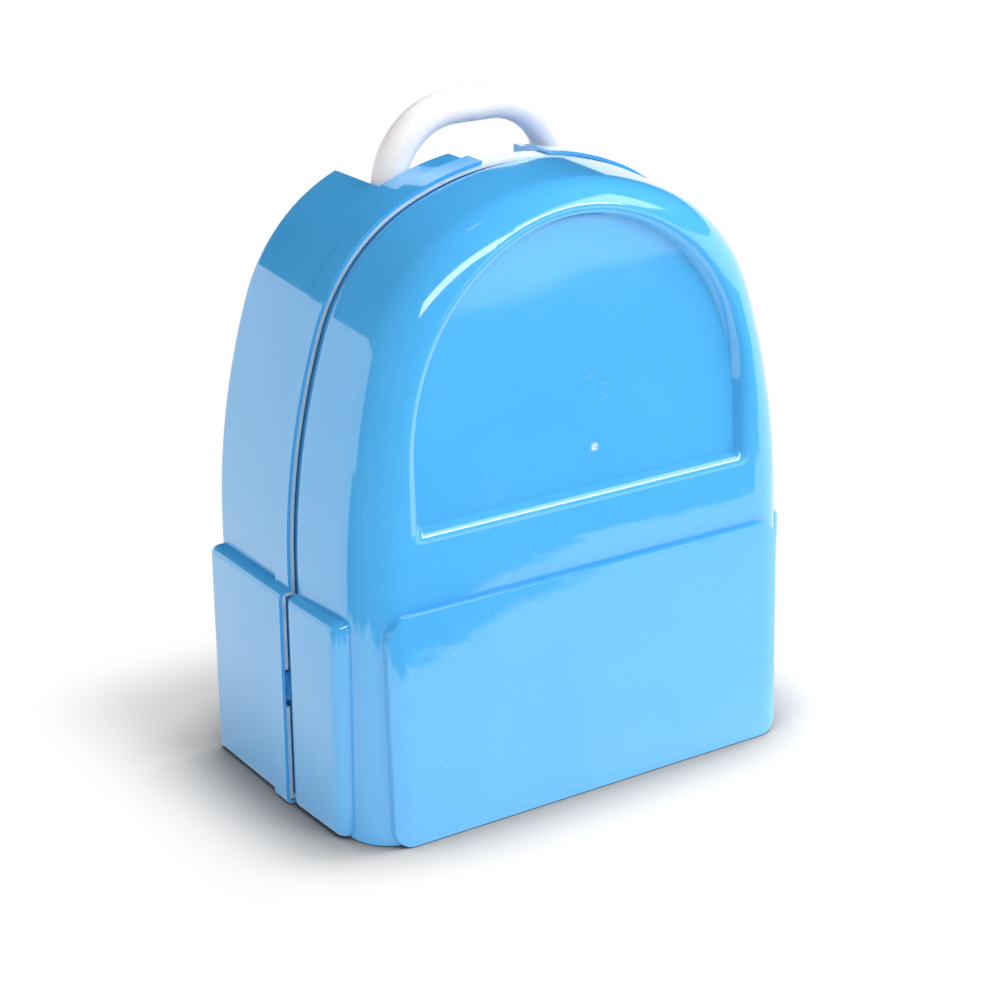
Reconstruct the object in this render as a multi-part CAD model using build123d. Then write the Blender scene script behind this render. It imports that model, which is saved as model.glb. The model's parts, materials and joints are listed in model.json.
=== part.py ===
"""Toy doctor backpack: two glossy moulded shells with an arched top that open like a book.

The rear shell carries a white inner tray, a white carrying handle in an open well, two webbing
shoulder straps and the standing halves of two pinned hinges. The front shell swings on them.

X is to the right as seen from the front, the front faces -Y, Z is up, and all sizes are in mm.
The floor is z = 0, and y = 0 is the plane of the seam, at the front edge of the rear shell's lip.
"""
from build123d import *
from math import acos, atan2, cos, degrees, radians, sin, sqrt
import os

# Arched outline of the body, seen from the front, at the rear shell's lip
half_width = 105.2
body_height = 248.0
side_radius = 290.0
side_angle = 18.6
shoulder_radius = 75.5
crown_radius = 119.3
base_corner_radius = 5.0

# Depths from the seam plane, and the walls
rear_depth = 61.0
front_depth = 51.0
wall = 2.2
rear_draft = 0.2
rear_edge_radius = 4.5

# Rear shell's lip, which stands proud of the body behind it and laps over the front shell
lip_depth = 10.0
lip_wall = 1.4
lip_step = 1.8
ledge_depth = 8.0

# Front shell: rolled rear edge, rim that enters the lip, and soft front edge that leans back
front_inset = 0.9
front_draft = 4.0
front_lean_angle = 2.1
front_lean_height = 95.0
roll_radius = 6.0
front_edge_radius = 18.0
rim_inset = 4.2
rim_reach = 5.4
floor_gap = 0.4
seam_gap = 0.8

# Side pockets, shared by both shells, and the front pocket
pocket_height = 92.0
pocket_proud = 4.2
pocket_root = 20.0
pocket_edge_radius = 4.0
pocket_foot_radius = 2.5
side_pocket_reach = 39.0
side_pocket_taper = 1.5
side_pocket_corner = 5.0
front_pocket_margin = 12.7
front_pocket_height = 94.5
front_pocket_proud = 3.2
front_pocket_radius = 10.0
front_pocket_edge = 2.8

# D-shaped recessed panel in the front
panel_side_margin = 26.2
panel_top_margin = 12.0
panel_height = 115.0
panel_side_bulge = 17.0
panel_side_angle = 20.0
panel_shoulder_tuck = 14.0
panel_crown_tuck = 9.75
panel_corner_radius = 2.0
panel_ledge = 4.6
panel_depth = 3.6
panel_lean = 3.0

# Handle, its well in the rear shell, and the notch in front of it
handle_radius = 6.9
handle_leg = 3.6
handle_flat = 8.3
handle_shoulder_gap = 1.7
handle_gap = 0.4
handle_side_gap = 1.6
handle_pin_radius = 2.0
handle_pin_clearance = 0.05
handle_pin_head_radius = 3.2
handle_pin_head = 2.0
handle_pin_engage = 8.0
band_depth = 24.0
well_floor_gap = 1.0
pivot_drop = 20.0
notch_half_width = 15.2
notch_depth = 9.5

# Hinges on the right side
hinge_stand_off = 0.4
hinge_knuckle_radius = 3.4
hinge_pin_radius = 1.5
hinge_pin_clearance = 0.05
hinge_pin_head_radius = 2.6
hinge_pin_head = 1.2
hinge_bottoms = (12.0, 56.0)
knuckle_length = 8.0
knuckle_gap = 0.4
web_spread = 4.0

# White inner tray
tray_wall = 1.5
tray_clearance = 0.3
tray_rim_front = 0.6
tray_rim_wall = 1.6
basin_depth = 34.0
basin_corner = 9.0
basin_gap = 8.0
basin_columns = 2
lower_basin_top = 84.0
top_basin_height = 34.0
top_basin_gap = 8.1
basin_side_margin = 16.0
top_basin_margin = 55.2
screw_radius = 1.5
screw_head_radius = 3.0
screw_head = 1.8
screw_length = 9.0
boss_radius = 4.2
screw_clearance = 0.05

# Catch on the left: hook of the front shell in a window of the tray's rim
catch_height = 50.0
catch_window = 16.0
catch_hook = 12.0
catch_reach = 1.5
catch_thickness = 3.4

# Shoulder straps
strap_width = 25.0
strap_thickness = 1.8
strap_slot_gap = 1.0
upper_anchor_x = 32.0
upper_anchor_drop = 47.0
lower_anchor_margin = 31.2
lower_anchor_height = 24.0
strap_bulge = 25.0
strap_end_gap = 1.0
adjuster_low_margin = 36.2
adjuster_high_margin = 42.2
adjuster_low_out = 14.0
adjuster_high_out = 19.0
adjuster_low_height = 62.0
adjuster_rise = 24.0
adjuster_width = 33.0
adjuster_height = 24.0
adjuster_thickness = 4.0
adjuster_bar = 4.0
adjuster_corner = 3.0
adjuster_clearance = 0.3
keeper_margin = 3.0
keeper_thickness = 3.0
keeper_corner = 2.0

# Worked out from the sizes above
pocket_half_width = half_width + pocket_proud
body_inset = lip_step
deep_corner = 3 * front_edge_radius
pocket_root_x = pocket_half_width - pocket_root
overlap = 1.0
tray_inset = lip_wall + tray_clearance
hinge_x = pocket_half_width + hinge_stand_off + hinge_knuckle_radius
tray_back = ledge_depth
basin_floor = tray_back + basin_depth
inner_rear = rear_depth - wall
front_pocket_half_width = half_width - front_pocket_margin
panel_half_width = half_width - panel_side_margin
panel_top = body_height - panel_top_margin
panel_bottom = panel_top - panel_height
panel_side_radius = panel_half_width + panel_side_bulge
panel_shoulder_radius = panel_side_radius - panel_shoulder_tuck
panel_crown_radius = panel_shoulder_radius - panel_crown_tuck
notch_floor = body_height - notch_depth
upper_anchor = (upper_anchor_x, body_height - upper_anchor_drop)
lower_anchor = (half_width - lower_anchor_margin, lower_anchor_height)
adjuster_low = (half_width - adjuster_low_margin, rear_depth + adjuster_low_out, adjuster_low_height)
adjuster_high = (half_width - adjuster_high_margin, rear_depth + adjuster_high_out,
                 adjuster_low_height + adjuster_rise)


def arch_arcs(half, height, r_side, angle, r_shoulder, r_crown):
    """Centres, radii and joining angles of the side, shoulder and crown arcs of an arch."""
    turn = radians(angle)
    x = half - r_side + (r_side - r_shoulder) * cos(turn)
    join = acos(x / (r_crown - r_shoulder))
    z = height - r_crown + (r_crown - r_shoulder) * sin(join)
    side = (half - r_side, z - (r_side - r_shoulder) * sin(turn))
    return ((side, r_side, 0.0, turn), ((x, z), r_shoulder, turn, join),
            ((0.0, height - r_crown), r_crown, join, radians(90)))


def arch_half_at(arcs, height, inset):
    """Half width of an arch, drawn in by inset, at a height on its shoulder or crown."""
    for (x, z), radius, start, end in reversed(arcs):
        if height >= z + (radius - inset) * sin(start):
            return x + sqrt((radius - inset) ** 2 - (height - z) ** 2)


def arch_face(arcs, base, y, inset=0.0, corner=base_corner_radius):
    """Arch outline at depth y, drawn in by inset, with its flat base at height base."""
    def at(centre, radius, angle, mirror):
        x = centre[0] + (radius - inset) * cos(angle)
        return Vector(mirror * x, y, centre[1] + (radius - inset) * sin(angle))

    edges = []
    for mirror in (1, -1):
        for centre, radius, start, end in arcs:
            points = [at(centre, radius, angle, mirror) for angle in (start, (start + end) / 2, end)]
            edges.append(Edge.make_three_point_arc(*points))
    foot = at(arcs[0][0], arcs[0][1], 0.0, 1)
    diagonal = corner * (1 - cos(radians(45)))
    for mirror in (1, -1):
        x = mirror * foot.X
        low = Vector(x - mirror * corner, y, base)
        high = Vector(x, y, base + corner)
        middle = Vector(x - mirror * diagonal, y, base + diagonal)
        edges.append(Edge.make_three_point_arc(low, middle, high))
        edges.append(Edge.make_line(high, Vector(x, y, foot.Z)))
    edges.append(Edge.make_line(Vector(corner - foot.X, y, base), Vector(foot.X - corner, y, base)))
    return Face(Wire.combine(edges)[0])


body_arcs = arch_arcs(half_width, body_height, side_radius, side_angle, shoulder_radius, crown_radius)
panel_arcs = arch_arcs(panel_half_width, panel_top, panel_side_radius, panel_side_angle,
                       panel_shoulder_radius, panel_crown_radius)

# Handle and its well, which fit between the shoulders of the arch, and the compartment under them
pivot_height = body_height - pivot_drop
handle_y = band_depth + handle_gap + handle_radius
well_half_width = (arch_half_at(body_arcs, pivot_height + handle_pin_head_radius, body_inset + wall)
                   - handle_shoulder_gap - handle_pin_head - wall)
handle_half_span = well_half_width - handle_side_gap - handle_radius
handle_bend_radius = handle_half_span - handle_flat
handle_top = pivot_height + handle_leg + handle_bend_radius + handle_radius
well_floor = pivot_height - handle_radius - well_floor_gap
top_basin_top = well_floor - top_basin_gap
middle_basin_top = top_basin_top - top_basin_height - basin_gap
top_basin_half_width = half_width - top_basin_margin
front_lean = radians(front_lean_angle)
front_plane = Plane(origin=(0, -front_depth, front_lean_height), x_dir=(1, 0, 0),
                    z_dir=(0, -cos(front_lean), sin(front_lean)))


def body_slab(inset, base, y0, y1, inset_end=None, corner=base_corner_radius):
    """Body outline carried from y0 to y1, drawn in evenly to inset_end on the way."""
    end = inset if inset_end is None else inset_end
    return Solid.make_loft([arch_face(body_arcs, base, y0, inset, corner).outer_wire(),
                            arch_face(body_arcs, base, y1, end, corner).outer_wire()], ruled=True)


def block(x0, x1, y0, y1, z0, z1):
    """Box between two corners."""
    return Pos((x0 + x1) / 2, (y0 + y1) / 2, (z0 + z1) / 2) * Box(abs(x1 - x0), abs(y1 - y0), z1 - z0)


def edges_at(shape, y):
    """Edges that lie wholly in the plane at depth y."""
    return [e for e in shape.edges() if all(abs(v.Y - y) < 1e-3 for v in e.vertices())]


def rod(x, y, z0, z1, radius):
    """Upright round rod."""
    return Pos(x, y, (z0 + z1) / 2) * Cylinder(radius, z1 - z0)


def rod_y(x, z, y0, y1, radius):
    """Round rod along Y."""
    return Pos(x, (y0 + y1) / 2, z) * Rot(90, 0, 0) * Cylinder(radius, abs(y1 - y0))


def rod_x(y, z, x0, x1, radius):
    """Round rod along X."""
    return Pos((x0 + x1) / 2, y, z) * Rot(0, 90, 0) * Cylinder(radius, abs(x1 - x0))


def rear_body(grow, start):
    """Rear shell's solid form from depth start, drawn in by grow, with its soft rear edge."""
    back = rear_depth - grow
    form = body_slab(body_inset + grow, -deep_corner, start, back, body_inset + rear_draft + grow,
                     deep_corner / 2)
    form = fillet(edges_at(form, back), rear_edge_radius - grow)
    return form & block(-half_width, half_width, start, back, grow, body_height)


def rear_pocket(side, grow):
    """Rear half of a side pocket, drawn in by grow, with its lip zone stepped out."""
    x = pocket_half_width - grow
    root = side * pocket_root_x
    lip = block(root, side * x, 0, lip_depth, grow, pocket_height - grow)
    rows = lip.edges().filter_by(Axis.Y).group_by(Axis.Z)
    low, high = (row.sort_by(lambda e: side * e.center().X)[-1] for row in (rows[0], rows[-1]))
    lip = fillet(low, pocket_foot_radius)
    high = [e for e in lip.edges().filter_by(Axis.Y).group_by(Axis.Z)[-1] if abs(e.center().X) > x - 0.1]
    lip = fillet(high, pocket_edge_radius)
    back_x = x - lip_step / 2
    back_top = pocket_height - lip_step / 2 - grow
    back = block(root, side * back_x, ledge_depth, rear_depth - grow, grow, back_top)
    outer = [e for e in back.edges() if e.center().Y > lip_depth and side * e.center().X > pocket_root_x + overlap
             and (side * e.center().X > back_x - 0.1 or e.center().Z > back_top - 0.1)]
    return lip + fillet(outer, pocket_edge_radius)


def hinge_stack(bottom, standing):
    """Knuckles of one hinge: the two outer ones stand on the rear shell, the middle one swings."""
    root_x = pocket_half_width - lip_wall / 2 if standing else front_side_x() - wall
    way = 1 if standing else -1
    root_far = way * (hinge_knuckle_radius + web_spread)
    plan = [(root_x, way * seam_gap), (hinge_x, 0), (hinge_x, way * hinge_knuckle_radius),
            (root_x, root_far)]
    knuckles = []
    for index in range(3):
        if (index % 2 == 0) != standing:
            continue
        z0 = bottom + index * (knuckle_length + knuckle_gap)
        barrel = rod(hinge_x, 0, z0, z0 + knuckle_length, hinge_knuckle_radius)
        foot = Face(Wire.make_polygon([Vector(x, y, z0) for x, y in plan], close=True))
        web = extrude(foot, knuckle_length, dir=(0, 0, 1))
        bore = rod(hinge_x, 0, z0 - overlap, z0 + knuckle_length + overlap,
                   hinge_pin_radius + hinge_pin_clearance)
        knuckles.append(barrel + web - bore)
    return knuckles


def front_side_x():
    """Half width of the front shell's side pocket where its rolled edge ends."""
    return pocket_half_width - front_inset


def strap_slot(anchor, side):
    """Slot through the rear wall for a strap end."""
    x, z = anchor
    half = strap_width / 2 + strap_slot_gap
    tall = strap_thickness / 2 + strap_slot_gap / 2
    return block(side * x - half, side * x + half, inner_rear - overlap, rear_depth + overlap,
                 z - tall, z + tall)


def basins():
    """Openings of the tray's compartments: low x, high x, low z, high z."""
    side = half_width - basin_side_margin
    low = basin_side_margin
    spaces = [(-side, side, low, lower_basin_top)]
    column = (2 * (side - basin_gap / 2) - (basin_columns - 1) * basin_gap) / basin_columns
    for index in range(basin_columns):
        x0 = -side + basin_gap / 2 + index * (column + basin_gap)
        spaces.append((x0, x0 + column, lower_basin_top + basin_gap, middle_basin_top))
    spaces.append((-top_basin_half_width, top_basin_half_width, middle_basin_top + basin_gap,
                   top_basin_top))
    return spaces


def screw_places():
    """Screws through the floor of the tray's lower and middle compartments."""
    x = half_width - basin_side_margin - basin_corner - boss_radius
    low = (basin_side_margin + lower_basin_top) / 2
    high = (lower_basin_top + basin_gap + middle_basin_top) / 2
    return [(-x, low), (x, low), (-x, high), (x, high)]


def make_rear_shell():
    """Rear shell: stepped lip, deep band, handle well, notch, pockets, bosses and knuckles."""
    lip = body_slab(0, 0, 0, lip_depth)
    body = rear_body(0, ledge_depth)
    outer = lip + body
    for side in (1, -1):
        outer += rear_pocket(side, 0)

    mouth = body_slab(lip_wall, lip_wall, -overlap, ledge_depth)
    shell = outer - mouth - rear_body(wall, ledge_depth - overlap)
    for side in (1, -1):
        root = side * pocket_root_x
        shell -= block(root, side * (pocket_half_width - lip_wall), -overlap, ledge_depth, lip_wall,
                       pocket_height - lip_wall)
        shell -= block(root, side * (pocket_half_width - lip_step / 2 - wall), ledge_depth - overlap,
                       inner_rear, wall, pocket_height - lip_step / 2 - wall)

    well = block(-well_half_width - wall, well_half_width + wall, band_depth - wall, rear_depth,
                 well_floor - wall, body_height)
    channel = block(-notch_half_width - wall, notch_half_width + wall, ledge_depth, band_depth,
                    notch_floor - wall, body_height)
    shell += (well + channel) & body
    shell -= block(-well_half_width, well_half_width, band_depth, rear_depth + overlap, well_floor,
                   body_height + overlap)
    shell -= block(-notch_half_width, notch_half_width, -overlap, band_depth + overlap, notch_floor,
                   body_height + overlap)
    for side in (1, -1):
        shell -= rod_x(handle_y, pivot_height, side * (well_half_width - overlap),
                       side * (well_half_width + wall + overlap), handle_pin_radius)
        shell -= strap_slot(upper_anchor, side)
        shell -= strap_slot(lower_anchor, side)

    for x, z in screw_places():
        shell += rod_y(x, z, basin_floor + tray_wall, inner_rear + wall / 2, boss_radius)
        shell -= rod_y(x, z, basin_floor, basin_floor + tray_wall + screw_length,
                       screw_radius + screw_clearance)
    for bottom in hinge_bottoms:
        for knuckle in hinge_stack(bottom, True):
            shell += knuckle
    return shell


def front_form(grow):
    """Arch that ends in the leaning front with its soft edge, drawn in by grow, with a deep base."""
    start = -seam_gap - grow
    far = -2 * front_depth
    inset = front_inset + grow
    reach = 3 * body_height
    form = body_slab(inset, -deep_corner, start, far, inset + front_draft * (start - far) / front_depth,
                     deep_corner / 2)
    form &= front_plane * Pos(0, 0, -grow - reach / 2) * Box(reach, reach, reach)
    edges = [e for e in form.edges()
             if all(abs(front_plane.to_local_coords(Vector(*v)).Z + grow) < 1e-3 for v in e.vertices())]
    return fillet(edges, front_edge_radius - grow)


def front_body(grow):
    """Front shell's body, drawn in by grow: rolled rear edge, leaning front and flat base."""
    start = -seam_gap - grow
    form = fillet(edges_at(front_form(grow), start), roll_radius - grow)
    return form & block(-half_width, half_width, -2 * front_depth, start, floor_gap + grow, body_height)


def front_side_pocket(side, grow):
    """Front half of a side pocket, tapering in towards the front."""
    base = floor_gap + grow
    x = front_side_x() - grow
    top = pocket_height - front_inset - grow
    y0 = -seam_gap - grow
    y1 = -side_pocket_reach + grow
    inner = pocket_root_x
    corners = [(inner, y0), (x, y0), (x - side_pocket_taper, y1), (inner, y1)]
    plan = Face(Wire.make_polygon([Vector(side * a, b, base) for a, b in corners], close=True))
    pocket = extrude(plan, top - base, dir=(0, 0, 1))
    for y, radius in ((y1, side_pocket_corner), (y0, roll_radius)):
        upright = [e for e in pocket.edges().filter_by(Axis.Z)
                   if abs(e.center().Y - y) < 0.1 and side * e.center().X > inner + overlap]
        pocket = fillet(upright, radius - grow)
    ends = [e for e in pocket.edges() if abs(e.center().Z - (top + base) / 2) > (top - base) / 2 - 0.1
            and side * e.center().X > inner + overlap]
    return fillet(ends, pocket_edge_radius - grow)


def front_pocket(grow):
    """Pocket that stands proud of the front and follows its soft corners, with rounded edges."""
    base = floor_gap + grow
    half = front_pocket_half_width - grow
    top = front_pocket_height - grow
    radius = front_pocket_radius - grow
    pocket = block(-half, half, -2 * front_depth, -front_depth / 2, base, top)
    pocket = fillet(pocket.edges().filter_by(Axis.Y).group_by(Axis.Z)[-1], radius)
    pocket &= front_form(grow - front_pocket_proud)
    rim = [e for e in pocket.edges() if all(v.Y < -front_depth / 2 - overlap for v in e.vertices())
           and (abs(e.center().X) > half - 0.1 or e.center().Z > top - radius - 0.1)]
    return fillet(rim, front_pocket_edge)


def panel_form(grow, front):
    """D that narrows from depth front, down a sloped ledge to a floor that leans back at the top."""
    slope = panel_ledge / panel_depth
    spread = slope * (front + front_depth)
    wide = arch_face(panel_arcs, panel_bottom + spread - grow, front, spread - grow,
                     panel_corner_radius)
    floor = arch_face(panel_arcs, panel_bottom + panel_ledge - grow, -front_depth + panel_depth + grow,
                      panel_ledge - grow, panel_corner_radius)
    foot = Axis((0, -front_depth + panel_depth, panel_bottom), (1, 0, 0))
    floor = floor.rotate(foot, -degrees(atan2(panel_lean, panel_height)))
    form = Solid.make_loft([wide.outer_wire(), floor.outer_wire()], ruled=True)
    return form.rotate(Axis(front_plane.origin, (1, 0, 0)), -front_lean_angle)


def make_front_shell():
    """Front shell: domed body, pockets, recessed panel, rim, catch hook and swinging knuckles."""
    outer = front_body(0)
    hollow = front_body(wall)
    for side in (1, -1):
        outer += front_side_pocket(side, 0)
        hollow += front_side_pocket(side, wall)
    outer += front_pocket(0)
    hollow += front_pocket(wall)
    rim = body_slab(rim_inset, rim_inset, -roll_radius, rim_reach)
    inner = rim_inset + wall
    mouth = body_slab(inner, inner, -roll_radius - wall, rim_reach + overlap)
    for side in (1, -1):
        root = side * pocket_root_x
        rim += block(root, side * (pocket_half_width - rim_inset), -roll_radius, rim_reach, rim_inset,
                     pocket_height - rim_inset)
        mouth += block(root, side * (pocket_half_width - inner), -roll_radius - wall,
                       rim_reach + overlap, inner, pocket_height - inner)
    shell = outer + rim
    shell -= panel_form(0, -front_depth - front_pocket_proud)
    shell -= hollow - panel_form(wall, -front_depth - overlap)
    shell -= mouth
    rim_side = -pocket_half_width + rim_inset
    shell += block(rim_side - catch_reach, rim_side + wall / 2, rim_reach - catch_thickness, rim_reach,
                   catch_height - catch_hook / 2, catch_height + catch_hook / 2)
    for bottom in hinge_bottoms:
        for knuckle in hinge_stack(bottom, False):
            shell += knuckle
    return shell


def make_inner_tray():
    """White tray: plate on the shell's ledge, rim that shows in the seam, and compartments."""
    def plan(inset, y0, y1):
        form = body_slab(inset, inset, y0, y1)
        for side in (1, -1):
            x = pocket_half_width - inset
            form += block(side * pocket_root_x, side * x, y0, y1, inset, pocket_height - inset)
        return form

    tray = plan(tray_inset, tray_rim_front, tray_back)
    tray -= plan(tray_inset + tray_rim_wall, tray_rim_front - overlap, tray_back - tray_wall)
    for x0, x1, z0, z1 in basins():
        tub = block(x0 - tray_wall, x1 + tray_wall, tray_back - tray_wall, basin_floor + tray_wall,
                    z0 - tray_wall, z1 + tray_wall)
        tray += fillet(tub.edges().filter_by(Axis.Y), basin_corner + tray_wall)
    for x0, x1, z0, z1 in basins():
        space = block(x0, x1, 0, basin_floor, z0, z1)
        space = fillet(space.edges().filter_by(Axis.Y), basin_corner)
        tray -= space
    for x, z in screw_places():
        tray -= rod_y(x, z, basin_floor - overlap, basin_floor + tray_wall + overlap,
                      screw_radius + screw_clearance)
    tray -= block(-pocket_half_width, -pocket_half_width + rim_inset, tray_rim_front - overlap,
                  tray_back - tray_wall, catch_height - catch_window / 2, catch_height + catch_window / 2)
    return tray


def make_tray_screws():
    """Pan head screws that hold the tray to the bosses of the rear shell."""
    screws = []
    for x, z in screw_places():
        head = rod_y(x, z, basin_floor - screw_head, basin_floor, screw_head_radius)
        screws.append(head + rod_y(x, z, basin_floor - screw_head / 2, basin_floor + screw_length,
                                   screw_radius))
    return Compound(screws)


def make_hinge_pin(bottom):
    """Hinge pin with a head that rests on the top knuckle."""
    top = bottom + 3 * knuckle_length + 2 * knuckle_gap
    return rod(hinge_x, 0, bottom, top, hinge_pin_radius) + rod(hinge_x, 0, top, top + hinge_pin_head,
                                                                 hinge_pin_head_radius)


def make_handle():
    """Round bow handle with rounded feet that turn on two pins."""
    line = handle_top - handle_radius
    corners = [(-handle_half_span, handle_y, pivot_height), (-handle_half_span, handle_y, line),
               (handle_half_span, handle_y, line), (handle_half_span, handle_y, pivot_height)]
    path = FilletPolyline(*corners, radius=handle_bend_radius)
    section = Plane(origin=corners[0], z_dir=(0, 0, 1)) * Circle(handle_radius)
    bow = sweep(section, path=path)
    for side in (1, -1):
        bow += Pos(side * handle_half_span, handle_y, pivot_height) * Sphere(handle_radius)
    for side in (1, -1):
        outer = handle_half_span + handle_radius
        bow -= rod_x(handle_y, pivot_height, side * (outer - handle_pin_engage),
                     side * (outer + overlap), handle_pin_radius + handle_pin_clearance)
    return bow


def make_handle_pin(side):
    """Headed pin, pushed through the wall of the well from inside the shell."""
    head = well_half_width + wall
    tip = handle_half_span + handle_radius - handle_pin_engage + handle_gap
    return rod_x(handle_y, pivot_height, side * tip, side * head, handle_pin_radius) + rod_x(
        handle_y, pivot_height, side * head, side * (head + handle_pin_head), handle_pin_head_radius)


def ribbon(points, width, thickness):
    """Flat webbing through the points, with its width along X as nearly as it can be."""
    points = [Vector(*p) for p in points]
    sections = []
    for index, point in enumerate(points):
        ahead = points[min(index + 1, len(points) - 1)]
        behind = points[max(index - 1, 0)]
        tangent = (ahead - behind).normalized()
        across = (Vector(1, 0, 0) - tangent * tangent.X).normalized()
        place = Plane(origin=point, x_dir=across, z_dir=tangent)
        sections.append((place * Rectangle(width, thickness)).face().outer_wire())
    return Solid.make_loft(sections, ruled=True)


def strap_side(points, side):
    """Points moved to the left or right strap."""
    return [(side * x, y, z) for x, y, z in points]


def adjuster_middle(way):
    """Point where a strap ends in the adjuster, half the end gap to one side of its middle bar."""
    low, high = Vector(*adjuster_low), Vector(*adjuster_high)
    point = (low + high) / 2 + (high - low).normalized() * way * strap_end_gap / 2
    return tuple(point)


def shoulder_points():
    """Route of the shoulder strap: out of its slot, over a soft arch and down to the adjuster."""
    x, z = upper_anchor
    drop = z - adjuster_high[2]
    drift = adjuster_high[0] - x
    points = [(x, inner_rear, z), (x, rear_depth + 0.16 * strap_bulge, z)]
    for down, out in ((0.026, 0.40), (0.087, 0.64), (0.24, 0.92), (0.48, 1.0), (0.72, 0.96)):
        points.append((x + drift * down ** 1.1, rear_depth + out * strap_bulge, z - down * drop))
    return points + [adjuster_high, adjuster_middle(1)]


def lower_points():
    """Route of the lower webbing, from the adjuster down and into its slot."""
    x, z = lower_anchor
    rise = adjuster_low[2] - z
    reach = adjuster_low[1] - rear_depth
    drift = adjuster_low[0] - x
    points = [adjuster_middle(-1), adjuster_low]
    for up, out in ((0.58, 0.71), (0.26, 0.54), (0.066, 0.36), (0.0, 0.14)):
        points.append((x + drift * up, rear_depth + out * reach, z + up * rise))
    return points + [(x, inner_rear, z)]


def make_adjuster(side):
    """Three-bar slide that lies on the outside of the webbing."""
    low = Vector(side * adjuster_low[0], adjuster_low[1], adjuster_low[2])
    high = Vector(side * adjuster_high[0], adjuster_high[1], adjuster_high[2])
    along = (high - low).normalized()
    across = (Vector(1, 0, 0) - along * along.X).normalized()
    place = Plane(origin=(low + high) / 2, x_dir=across, z_dir=across.cross(along))
    out = 1 if place.z_dir.Y > 0 else -1
    lift = out * (strap_thickness / 2 + adjuster_thickness / 2 + adjuster_clearance)
    frame = RectangleRounded(adjuster_width, adjuster_height, adjuster_corner)
    gap = (adjuster_height - 3 * adjuster_bar) / 2
    for row in (1, -1):
        frame -= Pos(0, row * (gap + adjuster_bar) / 2) * Rectangle(adjuster_width - 2 * adjuster_bar, gap)
    return place * Pos(0, 0, lift - adjuster_thickness / 2) * extrude(frame, adjuster_thickness)


def make_keeper(anchor, side):
    """Bar inside the rear wall that the strap's end is sewn round."""
    x, z = anchor
    half = strap_width / 2 + strap_slot_gap + keeper_margin
    tall = strap_thickness / 2 + strap_slot_gap + keeper_margin
    bar = block(side * x - half, side * x + half, inner_rear - keeper_thickness, inner_rear,
                z - tall, z + tall)
    return fillet(bar.edges().filter_by(Axis.Y), keeper_corner)


parts = {
    "rear_shell": make_rear_shell(),
    "front_shell": make_front_shell(),
    "inner_tray": make_inner_tray(),
    "tray_screws": make_tray_screws(),
    "hinge_pin_lower": make_hinge_pin(hinge_bottoms[0]),
    "hinge_pin_upper": make_hinge_pin(hinge_bottoms[1]),
    "handle": make_handle(),
}
for name, side in (("left", -1), ("right", 1)):
    parts["handle_pin_" + name] = make_handle_pin(side)
    parts["shoulder_strap_" + name] = ribbon(strap_side(shoulder_points(), side), strap_width,
                                             strap_thickness)
    parts["lower_strap_" + name] = ribbon(strap_side(lower_points(), side), strap_width,
                                          strap_thickness)
    parts["strap_adjuster_" + name] = make_adjuster(side)
    parts["upper_keeper_" + name] = make_keeper(upper_anchor, side)
    parts["lower_keeper_" + name] = make_keeper(lower_anchor, side)

os.makedirs("parts", exist_ok=True)
for name, shape in parts.items():
    export_step(shape, f"parts/{name}.step")
    print(name, round(shape.volume), shape.is_valid)
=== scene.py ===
"""Looks of a toy doctor backpack: two glossy shells, a white tray and handle, and webbing straps.

Shapes are worked out in millimetres and turned to metres when a mesh is finished. X is to the right
seen from the front, the front faces -Y, Z is up, the floor is z = 0 and y = 0 is the seam plane.
"""
import bpy
import bmesh
import json
from math import acos, atan2, cos, hypot, pi, radians, sin, sqrt, tan
from mathutils import Matrix, Vector

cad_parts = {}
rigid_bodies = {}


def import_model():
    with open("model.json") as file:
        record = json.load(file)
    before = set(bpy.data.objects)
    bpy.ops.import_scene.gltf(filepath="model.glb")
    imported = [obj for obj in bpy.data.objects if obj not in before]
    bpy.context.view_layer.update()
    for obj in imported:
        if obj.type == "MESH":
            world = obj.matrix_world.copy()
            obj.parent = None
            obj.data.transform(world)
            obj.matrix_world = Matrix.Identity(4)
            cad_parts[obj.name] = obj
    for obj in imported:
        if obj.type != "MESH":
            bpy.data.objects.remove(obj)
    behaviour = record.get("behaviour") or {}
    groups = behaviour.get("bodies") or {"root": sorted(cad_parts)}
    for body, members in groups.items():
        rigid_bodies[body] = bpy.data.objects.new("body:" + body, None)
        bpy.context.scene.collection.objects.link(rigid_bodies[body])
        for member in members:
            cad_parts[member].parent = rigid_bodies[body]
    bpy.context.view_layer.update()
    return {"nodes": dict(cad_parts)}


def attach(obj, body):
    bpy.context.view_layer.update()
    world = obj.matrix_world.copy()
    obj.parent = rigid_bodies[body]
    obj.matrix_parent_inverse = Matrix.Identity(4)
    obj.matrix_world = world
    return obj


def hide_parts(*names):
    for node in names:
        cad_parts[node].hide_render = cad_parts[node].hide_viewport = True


MM = 0.001

# Outline of the body, as in the frame
HALF_WIDTH = 105.2
BODY_HEIGHT = 248.0
SIDE_RADIUS = 290.0
SIDE_ANGLE = radians(18.6)
SHOULDER_RADIUS = 75.5
CROWN_RADIUS = 119.3
DEEP_CORNER = 27.0

# Depths and walls
REAR_DEPTH = 61.0
FRONT_DEPTH = 51.0
WALL = 2.2
REAR_DRAFT = 0.2
REAR_EDGE = 4.5
LIP_DEPTH = 10.0
LIP_WALL = 1.4
LIP_STEP = 1.8
LEDGE_DEPTH = 8.0
FRONT_INSET = 0.9
FRONT_DRAFT = 4.0
FRONT_LEAN = radians(2.1)
FRONT_LEAN_HEIGHT = 95.0
SLAB_CORNER = 5.0
ROLL = 6.0
FRONT_EDGE = 18.0
RIM_INSET = 4.2
RIM_REACH = 5.4
FLOOR_GAP = 0.4
SEAM_GAP = 0.8

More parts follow.
